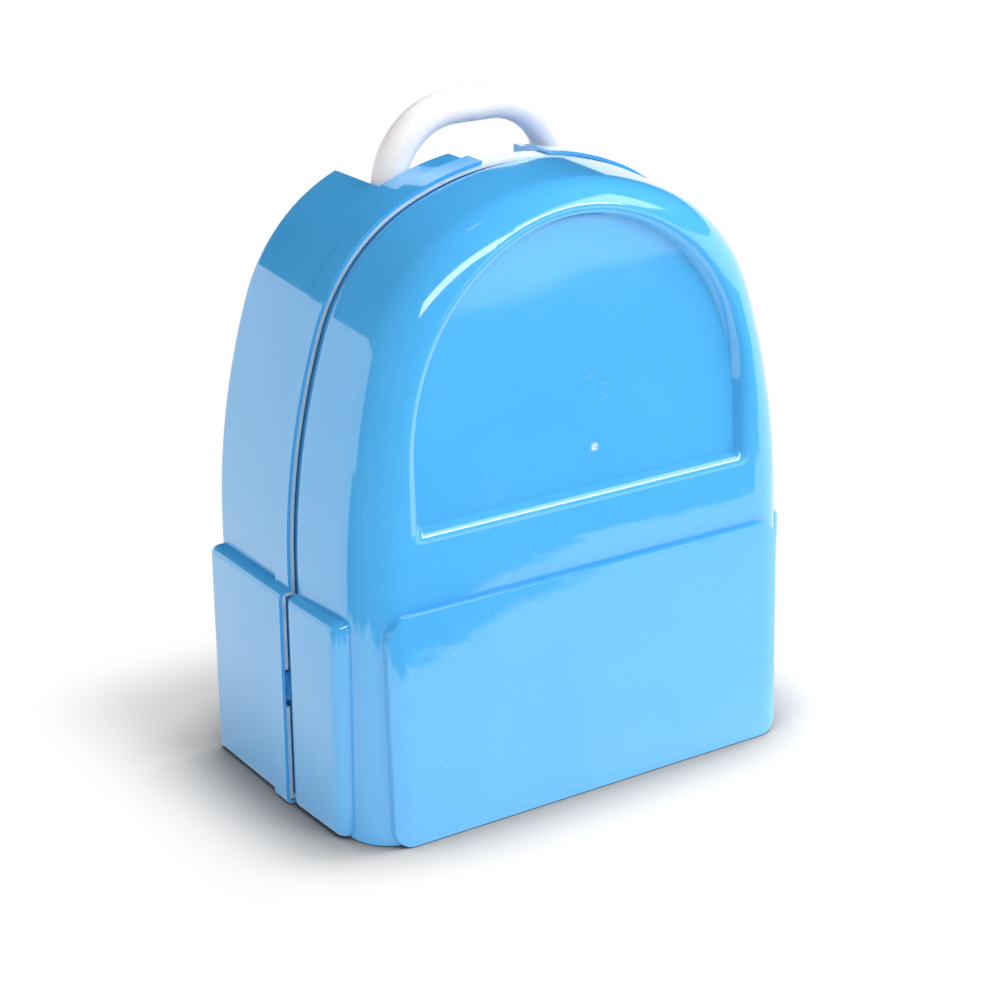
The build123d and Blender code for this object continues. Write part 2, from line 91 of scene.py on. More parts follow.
# Side pockets and front pocket
POCKET_HALF_WIDTH = 109.4
POCKET_HEIGHT = 92.0
POCKET_EDGE = 4.0
POCKET_FOOT = 2.5
POCKET_REACH = 39.0
POCKET_TAPER = 1.5
POCKET_CORNER = 5.0
POCKET_ROOT = 89.4
FRONT_POCKET_HALF = 92.5
FRONT_POCKET_HEIGHT = 94.5
FRONT_POCKET_PROUD = 3.2
FRONT_POCKET_CORNER = 10.0
FRONT_POCKET_FOOT = 7.0
FRONT_POCKET_EDGE = 2.8

# Recessed panel
PANEL_HALF_WIDTH = 79.0
PANEL_BOTTOM = 121.0
PANEL_TOP = 236.0
PANEL_SIDE_RADIUS = 96.0
PANEL_SIDE_ANGLE = radians(20)
PANEL_SHOULDER = 82.0
PANEL_CROWN = 72.25
PANEL_CORNER = 2.0
PANEL_LEDGE = 4.6
PANEL_DEPTH = 4.2
PANEL_LIP = 6.0
PANEL_LIP_PROUD = 0.05
PANEL_LIP_ANGLE = radians(50)
PANEL_SLOPE = 1.7
PANEL_LEAN = 3.0

# Handle, well and notch
HANDLE_RADIUS = 6.9
HANDLE_Y = 31.3
PIVOT_HEIGHT = 228.0
BAND_DEPTH = 24.0
WELL_HALF_WIDTH = 46.784
WELL_FLOOR = 220.1
NOTCH_HALF_WIDTH = 15.2
NOTCH_FLOOR = 238.5
HANDLE_HALF_SPAN = 38.284
HANDLE_TOP = 268.484
HANDLE_BEND = 29.984
PIN_ENGAGE = 8.0
HANDLE_BORE = 2.05
BOW_SIDES = 56
BALL_STEPS = 12

# Hinges and catch
HINGE_X = 113.2
KNUCKLE_RADIUS = 3.4
HINGE_BORE = 1.55
HINGE_BOTTOMS = (12.0, 56.0)
KNUCKLE_LENGTH = 8.0
KNUCKLE_GAP = 0.4
WEB_SPREAD = 4.0
WEB_INSIDE = 0.05
CATCH_HEIGHT = 50.0
CATCH_WINDOW = 16.0
CATCH_HOOK = 12.0
CATCH_REACH = 1.5
CATCH_THICKNESS = 3.4

# Inner tray
TRAY_WALL = 1.5
TRAY_INSET = 1.7
TRAY_FRONT = 0.6
TRAY_RIM = 1.6
BASIN_FLOOR = 42.0
BASIN_CORNER = 9.0
BASIN_SIDE = 89.2
BASIN_FOOT = 3.0
BASINS = ((-BASIN_SIDE, BASIN_SIDE, 16.0, 84.0), (4 - BASIN_SIDE, -4.0, 92.0, 170.0),
          (4.0, BASIN_SIDE - 4, 92.0, 170.0), (-50.0, 50.0, 178.0, 212.0))
BOSS_RADIUS = 4.2
SCREW_PLACES = [(x, z) for x in (-76.0, 76.0) for z in (50.0, 131.0)]

# Straps and adjusters
STRAP_WIDTH = 25.0
STRAP_THICKNESS = 1.8
STRAP_BULGE = 25.0
STRAP_STEP = 1.5
UPPER_ANCHOR = (32.0, 201.0)
LOWER_ANCHOR = (74.0, 24.0)
ADJUSTER_LOW = Vector((69.0, 75.0, 62.0))
ADJUSTER_HIGH = Vector((63.0, 80.0, 86.0))
ADJUSTER_WIDTH = 33.0
ADJUSTER_HEIGHT = 24.0
ADJUSTER_THICKNESS = 4.0
ADJUSTER_BAR = 4.0
ADJUSTER_CORNER = 3.0
ADJUSTER_EDGE = 0.7
ADJUSTER_SLOT_TOP = 10.0
ADJUSTER_CLEARANCE = 0.3
SLOT_SIDE = 1.0
SLOT_ABOVE = 0.5

# Tray screws, with a cross recess whose arms have half a length, half a width and a depth
SCREW_RADIUS = 1.5
SCREW_BORE = 1.55
SCREW_HEAD_RADIUS = 3.0
SCREW_HEAD = 1.8
SCREW_DOME = 0.9
SCREW_LENGTH = 9.0
SHANK_ROOT = 0.5
CROSS_LONG = 1.6
CROSS_WIDE = 0.4
CROSS_DEEP = 0.9

# Radii and allowances that several pieces use. DIRECTION is the length of a line's end that only gives
# a direction, and PARALLEL and ACROSS are cosines that tell which way an edge runs.
LEAST_RADIUS = 1.0
SMALL_EDGE = 0.3
OVERCUT = 1.0
SLIVER = 0.01
BEYOND = 160.0
DIRECTION = 40.0
OPEN_ABOVE = 20.0
NEAR = 0.1
PARALLEL = 0.9
ACROSS = 0.1
SAME_PLACE = 1e-6
DOUBLES = 0.002
POCKET_DOUBLES = 0.005

# Marks and weave of the materials; a spread is the part of a noise's range that is used
CLOUD_SPREAD = (0.3, 0.7)
RUB_SPREAD = (0.35, 0.75)
SCUFF_START = -38.0
SCUFF_FULL = -42.0
SCUFF_STRENGTH = 0.4
GATE_MARK = (6.6, -46.2, 140.5)
GATE_RADIUS = 1.7
GATE_LINE = 1.0
YARN_PITCH = 1.6

# Camera: degrees round, up and rolled, millimetres, and pixels of a frame of that width
CAMERA_ANGLES = (33.607, 21.166, 0.185)
CAMERA_TARGET = (0.0, 2.0, 105.0)
CAMERA_DISTANCE = 993.58
FRAME_PIXELS = 1000
FOCAL_PIXELS = 2458.92
SHIFT_PIXELS = 13.53

# Floor and surroundings, in metres: the box round which the shadow shows, and how far it fades
FLOOR_HALF = 4.0
FILL = 0.5
SHADOW_MIDDLE = (0.0, 0.03, 0.0)
SHADOW_HALF = (0.109, 0.08, 0.0)
SHADOW_FADE = 0.06
# Painted contact shade on the floor: how far ambient occlusion looks, and the part of its range that darkens
# the paper's colour
CONTACT_SHADE_REACH = 0.05
CONTACT_SHADE_SPREAD = (0.3, 0.95)

# Black cloth on the floor, in metres: a pair is where it is bare and where it covers in full, and a
# WAY is the direction along which that is measured
CLOTH_HALF = 2.0
CLOTH_HEIGHT = 0.002
CLOTH_HEM = (-0.25, -0.262)
HEM_SWAY = 0.03
HEM_TURN = (0.02, 0.2)
HEM_RETREAT = 0.075
LEFT_EDGE_MIDDLE = (-0.1, -0.05, 0.0)
LEFT_EDGE_RADII = (0.215, 0.23)
LEFT_EDGE_START = (-0.04, -0.1)
CLOTH_END = (-0.83, -0.78)
CLOTH_END_WAY = (0.3, 1, 0)
CLOTH_NO_END = (0.07, 0.04)
CLOTH_NO_END_WAY = (1, 0.35, 0)
CLOTH_REAR = (0.018, 0.038)
CLOTH_REAR_WAY = (-0.28, -0.96, 0)

# Tent, in metres and degrees: radius and height of its rings, and where round it its foot comes down
TENT_FOOT = 0.5
TENT_RINGS = ((1.5, TENT_FOOT), (1.5, 1.0), (1.2, 1.6), (0.6, 2.0), (0.1, 2.1))
TENT_STEP = 12
TENT_LOW = 0.005
TENT_CLOSED = (-100, 20)

# Lamps, in metres and watts: place, aim, width, height, power, and whether the gloss shows it
LAMPS = (("key_softbox", (0.85, -0.1, 1.0), (0, 0, 0.08), 0.8, 0.8, 11, False),
         ("fill_softbox", (-1.2, -0.1, 0.7), (0, 0, 0.1), 0.8, 0.8, 2, False),
         ("front_strip_box", (0.15, -1.0, 0.9), (0, 0, 0.12), 1.7, 0.26, 7, True),
         ("side_strip_box", (0.72, -0.64, 0.98), (0, 0, 0.2), 0.9, 0.45, 3, True))

for leftover in list(bpy.data.objects):
    bpy.data.objects.remove(leftover)
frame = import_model()


# Outlines

def arch_arcs(half, height, r_side, angle, r_shoulder, r_crown):
    """Centre, radius, first and last angle of the side, shoulder and crown arcs of an arch."""
    x = half - r_side + (r_side - r_shoulder) * cos(angle)
    join = acos(x / (r_crown - r_shoulder))
    z = height - r_crown + (r_crown - r_shoulder) * sin(join)
    return ((half - r_side, z - (r_side - r_shoulder) * sin(angle), r_side, 0.0, angle),
            (x, z, r_shoulder, angle, join), (0.0, height - r_crown, r_crown, join, pi / 2))


BODY_ARCS = arch_arcs(HALF_WIDTH, BODY_HEIGHT, SIDE_RADIUS, SIDE_ANGLE, SHOULDER_RADIUS, CROWN_RADIUS)
PANEL_ARCS = arch_arcs(PANEL_HALF_WIDTH, PANEL_TOP, PANEL_SIDE_RADIUS, PANEL_SIDE_ANGLE,
                       PANEL_SHOULDER, PANEL_CROWN)
ARC_STEPS = (16, 24, 14)
CORNER_STEPS = 10


def arch_ring(arcs, inset, base, corner, y):
    """Closed ring of points round the arch, drawn in by inset, with rounded corners at its base."""
    half = []
    foot = arcs[0][0] + arcs[0][2] - inset
    for step in range(CORNER_STEPS + 1):
        angle = -pi / 2 * (1 - step / CORNER_STEPS)
        half.append((foot - corner + corner * cos(angle), base + corner + corner * sin(angle)))
    for (cx, cz, radius, start, end), steps in zip(arcs, ARC_STEPS):
        for step in range(steps + 1):
            angle = start + (end - start) * step / steps
            point = (cx + (radius - inset) * cos(angle), cz + (radius - inset) * sin(angle))
            if abs(point[0] - half[-1][0]) + abs(point[1] - half[-1][1]) > SAME_PLACE:
                half.append(point)
    ring = [Vector((x, y, z)) for x, z in half]
    return ring + [Vector((-p.x, p.y, p.z)) for p in reversed(ring[:-1])]


def rounded(points, radii, steps=12):
    """Open 2-D line through the points, with each inner corner rounded to its radius."""
    line = [Vector(points[0])]
    for before, corner, after, radius in zip(points, points[1:], points[2:], radii):
        corner = Vector(corner)
        back = (Vector(before) - corner).normalized()
        ahead = (Vector(after) - corner).normalized()
        half = back.angle(ahead) / 2
        centre = corner + (back + ahead).normalized() * radius / sin(half)
        start = corner + back * radius / tan(half) - centre
        end = corner + ahead * radius / tan(half) - centre
        turn = (pi - 2 * half) * (1 if start.cross(end) > 0 else -1)
        for step in range(steps + 1):
            line.append(centre + Matrix.Rotation(turn * step / steps, 2) @ start)
    return line + [Vector(points[-1])]


# Mesh helpers

def loft(rings, labels=None, capped=True):
    """Closed solid, or open skin, through rings of equal length, made by extruding the first one.

    Labels, a (run, across) pair in mm for each point of each ring, are kept for a woven material.
    """
    bm = bmesh.new()
    order = bm.verts.layers.int.new("order")
    row = bm.verts.layers.int.new("row")
    verts = [bm.verts.new(p) for p in rings[0]]
    for index, vert in enumerate(verts):
        vert[order] = index
    edges = [bm.edges.new((a, b)) for a, b in zip(verts, verts[1:] + verts[:1])]
    if capped:
        bmesh.ops.contextual_create(bm, geom=edges)
    for index, ring in enumerate(rings[1:], 1):
        made = bmesh.ops.extrude_edge_only(bm, edges=edges)["geom"]
        fresh = {g for g in made if isinstance(g, bmesh.types.BMVert)}
        edges = [g for g in made if isinstance(g, bmesh.types.BMEdge) and set(g.verts) <= fresh]
        for vert in fresh:
            vert.co = ring[vert[order]]
            vert[row] = index
    if capped:
        bmesh.ops.contextual_create(bm, geom=edges)
    bmesh.ops.recalc_face_normals(bm, faces=bm.faces)
    if labels:
        run, across = (bm.verts.layers.float.new(name) for name in ("run", "across"))
        for vert in bm.verts:
            vert[run], vert[across] = labels[vert[row]][vert[order]]
    for layer in (row, order):
        bm.verts.layers.int.remove(bm.verts.layers.int[layer.name])
    return bm


def box_mesh(x0, x1, y0, y1, z0, z1):
    """Box between two corners."""
    bm = bmesh.new()
    bmesh.ops.create_cube(bm, size=1)
    bmesh.ops.scale(bm, vec=(abs(x1 - x0), abs(y1 - y0), abs(z1 - z0)), verts=bm.verts)
    bmesh.ops.translate(bm, vec=((x0 + x1) / 2, (y0 + y1) / 2, (z0 + z1) / 2), verts=bm.verts)
    return bm


def rod_mesh(start, end, radius, steps=48):
    """Round rod between two points."""
    start, end = Vector(start), Vector(end)
    bm = bmesh.new()
    bmesh.ops.create_cone(bm, cap_ends=True, segments=steps, radius1=radius, radius2=radius,
                          depth=(end - start).length)
    turn = (end - start).to_track_quat("Z", "Y").to_matrix().to_4x4()
    bmesh.ops.transform(bm, matrix=Matrix.Translation((start + end) / 2) @ turn, verts=bm.verts)
    return bm


def soften(bm, width, steps, keep):
    """Rounds the edges that keep() picks."""
    edges = [e for e in bm.edges if keep(e)]
    bmesh.ops.bevel(bm, geom=edges, offset=width, offset_type="OFFSET", segments=steps, profile=0.5,
                    material=-1, affect="EDGES", clamp_overlap=True)
    return bm


def middle(edge):
    """Middle of an edge."""
    return (edge.verts[0].co + edge.verts[1].co) / 2


def along(edge):
    """Direction of an edge, without its sign."""
    d = (edge.verts[1].co - edge.verts[0].co).normalized()
    return Vector((abs(d.x), abs(d.y), abs(d.z)))


def new_object(bm, name):
    """Object from a mesh in metres."""
    mesh = bpy.data.meshes.new(name)
    bm.to_mesh(mesh)
    bm.free()
    thing = bpy.data.objects.new(name, mesh)
    bpy.context.scene.collection.objects.link(thing)
    return thing


def finished(bm, name):
    """Object in metres from a mesh in millimetres."""
    bmesh.ops.scale(bm, vec=(MM, MM, MM), verts=bm.verts)
    return new_object(bm, name)


def reopened(thing):
    """Mesh in millimetres from an object, which is used up."""
    bm = bmesh.new()
    bm.from_mesh(thing.data)
    bpy.data.objects.remove(thing)
    bmesh.ops.scale(bm, vec=(1 / MM, 1 / MM, 1 / MM), verts=bm.verts)
    return bm


def meet(thing, tool, operation):
    """Joins a piece with another one, cuts it by it or keeps what they share, and uses that one up."""
    cut = thing.modifiers.new("cut", "BOOLEAN")
    cut.operation = operation
    cut.solver = "EXACT"
    cut.object = tool
    depsgraph = bpy.context.evaluated_depsgraph_get()
    mesh = bpy.data.meshes.new_from_object(thing.evaluated_get(depsgraph))
    thing.modifiers.clear()
    thing.data = mesh
    bpy.data.objects.remove(tool)


def combined(thing, bms, operation):
    """Has a piece meet each of the forms, which are in millimetres."""
    for bm in bms:
        meet(thing, finished(bm, "tool"), operation)


def polished(thing, angle=28):
    """Smooth faces, with edges sharper than the angle left crisp."""
    bm = bmesh.new()
    bm.from_mesh(thing.data)
    bmesh.ops.remove_doubles(bm, verts=bm.verts, dist=DOUBLES * MM)
    for face in bm.faces:
        face.smooth = True
    for edge in bm.edges:
        edge.smooth = len(edge.link_faces) == 2 and edge.calc_face_angle() < radians(angle)
    bm.to_mesh(thing.data)
    bm.free()
    return thing


# Forms that both the outside and the inside of a shell use

def body_form(profile, base, corner):
    """Arch carried along Y through the (depth, inset) points of a profile."""
    return loft([arch_ring(BODY_ARCS, inset, base, corner, y) for y, inset in profile])


def slab(inset, base, y0, y1):
    """Arch outline drawn in by inset, from y0 to y1."""
    return body_form([(y0, inset), (y1, inset)], base, max(SLAB_CORNER - inset, LEAST_RADIUS))


def rear_body(grow, start):
    """Rear shell's body, drawn in by grow, with its soft rear edge; its base runs below the floor."""
    inset = LIP_STEP + grow
    back = REAR_DEPTH - grow
    slope = REAR_DRAFT / (REAR_DEPTH - LEDGE_DEPTH)
    line = [(start, inset), (back, inset + slope * (back - start)), (back, inset + DIRECTION)]
    profile = rounded(line, [REAR_EDGE - grow])[:-1]
    return body_form(profile, -2 * DEEP_CORNER, DEEP_CORNER)


def leaned(bm):
    """Leans the front of a form back: the nearer a point is to the front, the more it moves."""
    reach = FRONT_DEPTH - FRONT_EDGE - ROLL
    for vert in bm.verts:
        share = min(max((-vert.co.y - ROLL) / reach, 0.0), 1.0)
        vert.co.y += share * tan(FRONT_LEAN) * (vert.co.z - FRONT_LEAN_HEIGHT)
    return bm


def front_body(grow):
    """Front shell's body, drawn in by grow, with a rolled rear edge and a soft front that leans back."""
    start = -SEAM_GAP - grow
    face = -FRONT_DEPTH + grow
    inset = FRONT_INSET + grow
    slope = FRONT_DRAFT / FRONT_DEPTH
    line = [(start, inset + DIRECTION), (start, inset), (face, inset + slope * (start - face)),
            (face, inset + DIRECTION)]
    rings = rounded(line, [max(ROLL - grow, LEAST_RADIUS), FRONT_EDGE - grow], steps=18)[1:-1]
    return leaned(body_form(rings, -2 * DEEP_CORNER, DEEP_CORNER))


def below(height):
    """Everything under a height."""
    return box_mesh(-BEYOND, BEYOND, -BEYOND, BEYOND, -BEYOND, height)


def rear_pocket_back(side, grow):
    """Rear half of a side pocket behind the lip."""
    x = POCKET_HALF_WIDTH - LIP_STEP / 2 - grow
    top = POCKET_HEIGHT - LIP_STEP / 2 - grow
    start = LEDGE_DEPTH - (OVERCUT if grow else 0)
    bm = box_mesh(side * POCKET_ROOT, side * x, start, REAR_DEPTH - grow, grow, top)

    def outer(edge):
        """Whether an edge is one of those that show."""
        m, d = middle(edge), along(edge)
        far_x = abs(m.x) > x - NEAR
        high = m.z > top - NEAR
        back = m.y > REAR_DEPTH - grow - NEAR
        return far_x and (d.y > PARALLEL or back and d.z > PARALLEL) or high and back
    return soften(bm, max(POCKET_EDGE - grow, LEAST_RADIUS), steps=8, keep=outer)


def rear_pocket_lip(side, grow):
    """Lip of the rear half of a side pocket."""
    x = POCKET_HALF_WIDTH - grow
    top = POCKET_HEIGHT - grow
    bm = box_mesh(side * POCKET_ROOT, side * x, -OVERCUT if grow else 0,
                  LEDGE_DEPTH if grow else LIP_DEPTH, grow, top)
    for radius, end in ((POCKET_FOOT, grow), (POCKET_EDGE, top)):
        soften(bm, max(radius - grow, LEAST_RADIUS), steps=8, keep=lambda e: along(e).y > PARALLEL and
               abs(middle(e).z - end) < NEAR and abs(middle(e).x) > x - NEAR)
    return bm


def front_side_pocket(side, grow):
    """Front half of a side pocket, which tapers in towards the front."""
    x = POCKET_HALF_WIDTH - FRONT_INSET - grow
    y0, y1 = -SEAM_GAP - grow, -POCKET_REACH + grow
    top = POCKET_HEIGHT - FRONT_INSET - grow
    bm = box_mesh(side * POCKET_ROOT, side * x, y0, y1, FLOOR_GAP + grow, top)
    for vert in bm.verts:
        if vert.co.y < y1 + NEAR and abs(vert.co.x) > x - NEAR:
            vert.co.x = side * (x - POCKET_TAPER)

    def outside(edge):
        """Whether an edge is clear of the body."""
        return abs(middle(edge).x) > POCKET_ROOT + OVERCUT

    soften(bm, ROLL - grow, steps=12, keep=lambda e: outside(e) and along(e).z > PARALLEL and
           middle(e).y > y0 - NEAR)
    soften(bm, POCKET_CORNER - grow, steps=12, keep=lambda e: outside(e) and along(e).z > PARALLEL and
           middle(e).y < y1 + NEAR and e.calc_face_angle() > 1)
    return soften(bm, POCKET_EDGE - grow, steps=10, keep=lambda e: outside(e) and
                  along(e).z < ACROSS and not FLOOR_GAP + grow + NEAR < middle(e).z < top - NEAR and
                  any(abs(f.normal.z) < 0.5 for f in e.link_faces))


def front_pocket(grow):
    """Pocket that stands proud of the front and follows its soft corners, with rounded edges."""
    proud = FRONT_POCKET_PROUD - grow
    start, face = -FRONT_DEPTH / 2, -FRONT_DEPTH - proud
    slope = FRONT_DRAFT / FRONT_DEPTH
    line = [(start, FRONT_INSET - proud - slope * start), (face, FRONT_INSET - proud - slope * face),
            (face, DIRECTION)]
    rings = rounded(line, [FRONT_EDGE + proud], steps=24)[:-1]
    pocket = finished(body_form(rings, -2 * DEEP_CORNER, DEEP_CORNER), "pocket")
    half, top, base = FRONT_POCKET_HALF - grow, FRONT_POCKET_HEIGHT - grow, FLOOR_GAP + grow
    outline = box_mesh(-half, half, 2 * face, 0, base, top)
    for corner, end in ((FRONT_POCKET_CORNER, top), (FRONT_POCKET_FOOT, base)):
        soften(outline, corner - grow, steps=16, keep=lambda e: along(e).y > PARALLEL and
               abs(middle(e).z - end) < NEAR)
    combined(pocket, [outline], "INTERSECT")
    bm = reopened(pocket)
    bmesh.ops.remove_doubles(bm, verts=bm.verts, dist=POCKET_DOUBLES)
    soften(bm, FRONT_POCKET_EDGE, steps=10, keep=lambda e: e.calc_face_angle(0) > radians(30) and
           all(v.co.y < start - 1 for v in e.verts))
    return leaned(bm)


def skin_depth(x, z):
    """Depth of the front shell's outside at a place on its front, before it leans."""
    inset = HALF_WIDTH - abs(x)
    for cx, cz, radius, start, end in BODY_ARCS:
        if start <= atan2(z - cz, abs(x) - cx) <= end:
            inset = radius - hypot(abs(x) - cx, z - cz)
    slope = FRONT_DRAFT / FRONT_DEPTH
    middle_y = FRONT_EDGE - FRONT_DEPTH
    middle_inset = FRONT_INSET - slope * middle_y + FRONT_EDGE * hypot(1, slope)
    if inset >= middle_inset:
        return -FRONT_DEPTH
    return middle_y - sqrt(max(FRONT_EDGE ** 2 - (middle_inset - inset) ** 2, 0))


def panel_form(grow):
    """Recess of the panel: a lip rounded over from the skin, a sloped ledge and a floor that leans back."""
    reach = PANEL_LEDGE - PANEL_SLOPE - PANEL_LIP * sin(PANEL_LIP_ANGLE)
    profile = []
    for step in range(CORNER_STEPS + 1):
        angle = PANEL_LIP_ANGLE * step / CORNER_STEPS
        profile.append((reach + PANEL_LIP * sin(angle), PANEL_LIP * (1 - cos(angle)) - PANEL_LIP_PROUD))

    def outline(inset, corner, y):
        """Outline of the panel, drawn in by inset, with its lower corners rounded."""
        return arch_ring(PANEL_ARCS, inset, PANEL_BOTTOM + inset, corner, y)

    edge = reach - OVERCUT - grow / 2
    rings = [outline(edge, PANEL_CORNER + (PANEL_LEDGE - edge) / 2, -FRONT_DEPTH - FRONT_POCKET_PROUD)]
    for inset, sink in profile:
        inset -= grow / 2
        ring = outline(inset, PANEL_CORNER + (PANEL_LEDGE - inset) / 2, 0)
        rings.append([Vector((q.x, skin_depth(q.x, q.z) + sink + grow, q.z)) for q in ring])
    lean = PANEL_LEAN / (PANEL_TOP - PANEL_BOTTOM)
    floor = outline(PANEL_LEDGE - grow / 2, PANEL_CORNER, PANEL_DEPTH + grow - FRONT_DEPTH)
    for point in floor:
        point.y += lean * (point.z - PANEL_BOTTOM)
    return leaned(loft(rings + [floor]))


def pocket_blocks(inset, y0, y1):
    """Side pockets of a rim, drawn in by inset from the pockets' outline."""
    return [box_mesh(side * POCKET_ROOT, side * (POCKET_HALF_WIDTH - inset), y0, y1, inset,
                     POCKET_HEIGHT - inset) for side in (1, -1)]


def knuckles(standing):
    """Hinge knuckles with their webs: the outer two of each hinge stand, the middle one swings."""
    made = []
    way = 1 if standing else -1
    root = POCKET_HALF_WIDTH - (LIP_WALL / 2 if standing else FRONT_INSET + WALL / 2)
    for bottom in HINGE_BOTTOMS:
        for index in ((0, 2) if standing else (1,)):
            z0 = bottom + index * (KNUCKLE_LENGTH + KNUCKLE_GAP)
            z1 = z0 + KNUCKLE_LENGTH
            barrel = rod_mesh((HINGE_X, 0, z0), (HINGE_X, 0, z1), KNUCKLE_RADIUS)
            made.append(soften(barrel, SMALL_EDGE, steps=3, keep=lambda e: along(e).z < ACROSS))
            web = box_mesh(root, HINGE_X, 0, 1, z0 + SLIVER, z1 - SLIVER)
            for vert in web.verts:
                near = vert.co.x < root + NEAR
                if vert.co.y < 0.5:
                    vert.co.y = way * (SEAM_GAP if near else WEB_INSIDE)
                else:
                    vert.co.y = way * (KNUCKLE_RADIUS + (WEB_SPREAD if near else -WEB_INSIDE))
            bmesh.ops.recalc_face_normals(web, faces=web.faces)
            made.append(web)
    return made


def hinge_bores():
    """Bores of both hinges."""
    length = 3 * KNUCKLE_LENGTH + 2 * KNUCKLE_GAP
    return [rod_mesh((HINGE_X, 0, z - OVERCUT), (HINGE_X, 0, z + length + OVERCUT), HINGE_BORE, steps=32)
            for z in HINGE_BOTTOMS]


def make_front_shell():
    """Front shell with its pockets, recessed panel, rim, catch hook and knuckles."""
    shell = finished(front_body(0), "front_case")
    combined(shell, [front_side_pocket(1, 0), front_side_pocket(-1, 0), front_pocket(0)], "UNION")
    combined(shell, [below(FLOOR_GAP), panel_form(0)], "DIFFERENCE")
    hollow = finished(front_body(WALL), "hollow")
    combined(hollow, [front_side_pocket(1, WALL), front_side_pocket(-1, WALL), front_pocket(WALL)], "UNION")
    combined(hollow, [below(FLOOR_GAP + WALL), panel_form(WALL)], "DIFFERENCE")
    meet(shell, hollow, "DIFFERENCE")
    inner = RIM_INSET + WALL
    combined(shell, [slab(RIM_INSET, RIM_INSET, -ROLL, RIM_REACH)] +
             pocket_blocks(RIM_INSET, -ROLL, RIM_REACH), "UNION")
    combined(shell, [slab(inner, inner, -ROLL - WALL, RIM_REACH + OVERCUT)] +
             pocket_blocks(inner, -ROLL - WALL, RIM_REACH + OVERCUT), "DIFFERENCE")
    side = RIM_INSET - POCKET_HALF_WIDTH
    hook = box_mesh(side - CATCH_REACH, side + WALL / 2, RIM_REACH - CATCH_THICKNESS, RIM_REACH,
                    CATCH_HEIGHT - CATCH_HOOK / 2, CATCH_HEIGHT + CATCH_HOOK / 2)
    combined(shell, [soften(hook, SMALL_EDGE, steps=2, keep=lambda e: True)] + knuckles(False), "UNION")
    combined(shell, hinge_bores(), "DIFFERENCE")
    return polished(shell)


def well_block(grow, top):
    """Handle well, or its walls where grow is the wall."""
    return box_mesh(-WELL_HALF_WIDTH - grow, WELL_HALF_WIDTH + grow, BAND_DEPTH - grow,
                    REAR_DEPTH + (0 if grow else OVERCUT), WELL_FLOOR - grow, top)


def notch_block(grow, top):
    """Channel of the notch, or its walls where grow is the wall."""
    return box_mesh(-NOTCH_HALF_WIDTH - grow, NOTCH_HALF_WIDTH + grow,
                    LEDGE_DEPTH if grow else -OVERCUT, BAND_DEPTH + (0 if grow else OVERCUT),
                    NOTCH_FLOOR - grow, top)


def make_rear_shell():
    """Rear shell with its stepped lip, pockets, open well, notch, strap slots and knuckles."""
    shell = finished(rear_body(0, LEDGE_DEPTH), "rear_case")
    combined(shell, [slab(0, 0, 0, LIP_DEPTH)] + [rear_pocket_lip(s, 0) for s in (1, -1)] +
             [rear_pocket_back(s, 0) for s in (1, -1)], "UNION")
    combined(shell, [below(0)], "DIFFERENCE")
    hollow = finished(rear_body(WALL, LEDGE_DEPTH - OVERCUT), "hollow")
    combined(hollow, [rear_pocket_back(s, WALL) for s in (1, -1)], "UNION")
    top = BODY_HEIGHT + OPEN_ABOVE
    combined(hollow, [below(WALL), well_block(WALL, top), notch_block(WALL, top)], "DIFFERENCE")
    meet(shell, hollow, "DIFFERENCE")
    combined(shell, [slab(LIP_WALL, LIP_WALL, -OVERCUT, LEDGE_DEPTH)] +
             [rear_pocket_lip(s, LIP_WALL) for s in (1, -1)], "DIFFERENCE")
    combined(shell, [well_block(0, top + OVERCUT), notch_block(0, top + OVERCUT)], "DIFFERENCE")
    slots = []
    for side in (1, -1):
        for x, z in (UPPER_ANCHOR, LOWER_ANCHOR):
            half, tall = STRAP_WIDTH / 2 + SLOT_SIDE, STRAP_THICKNESS / 2 + SLOT_ABOVE
            slots.append(box_mesh(side * x - half, side * x + half, REAR_DEPTH - WALL - OVERCUT,
                                  REAR_DEPTH + OVERCUT, z - tall, z + tall))
        ends = (WELL_HALF_WIDTH - OVERCUT, WELL_HALF_WIDTH + WALL + OVERCUT)
        slots.append(rod_mesh(*((side * x, HANDLE_Y, PIVOT_HEIGHT) for x in ends), HANDLE_BORE))
    combined(shell, slots, "DIFFERENCE")
    bosses = [rod_mesh((x, BASIN_FLOOR + TRAY_WALL, z), (x, REAR_DEPTH - WALL / 2, z), BOSS_RADIUS)
              for x, z in SCREW_PLACES]
    combined(shell, bosses + knuckles(True), "UNION")
    combined(shell, hinge_bores(), "DIFFERENCE")
    return polished(shell)


def basin_block(x0, x1, z0, z1, grow):
    """Space of a compartment, or its walls where grow is the wall, with round corners and foot."""
    y0 = LEDGE_DEPTH - TRAY_WALL + SLIVER if grow else 0
    y1 = BASIN_FLOOR + grow
    bm = box_mesh(x0 - grow, x1 + grow, y0, y1, z0 - grow, z1 + grow)
    soften(bm, BASIN_CORNER + grow, steps=10, keep=lambda e: along(e).y > PARALLEL)
    return soften(bm, BASIN_FOOT + grow, steps=6, keep=lambda e: all(v.co.y > y1 - NEAR for v in e.verts) and
                  any(abs(f.normal.y) < 0.5 for f in e.link_faces))


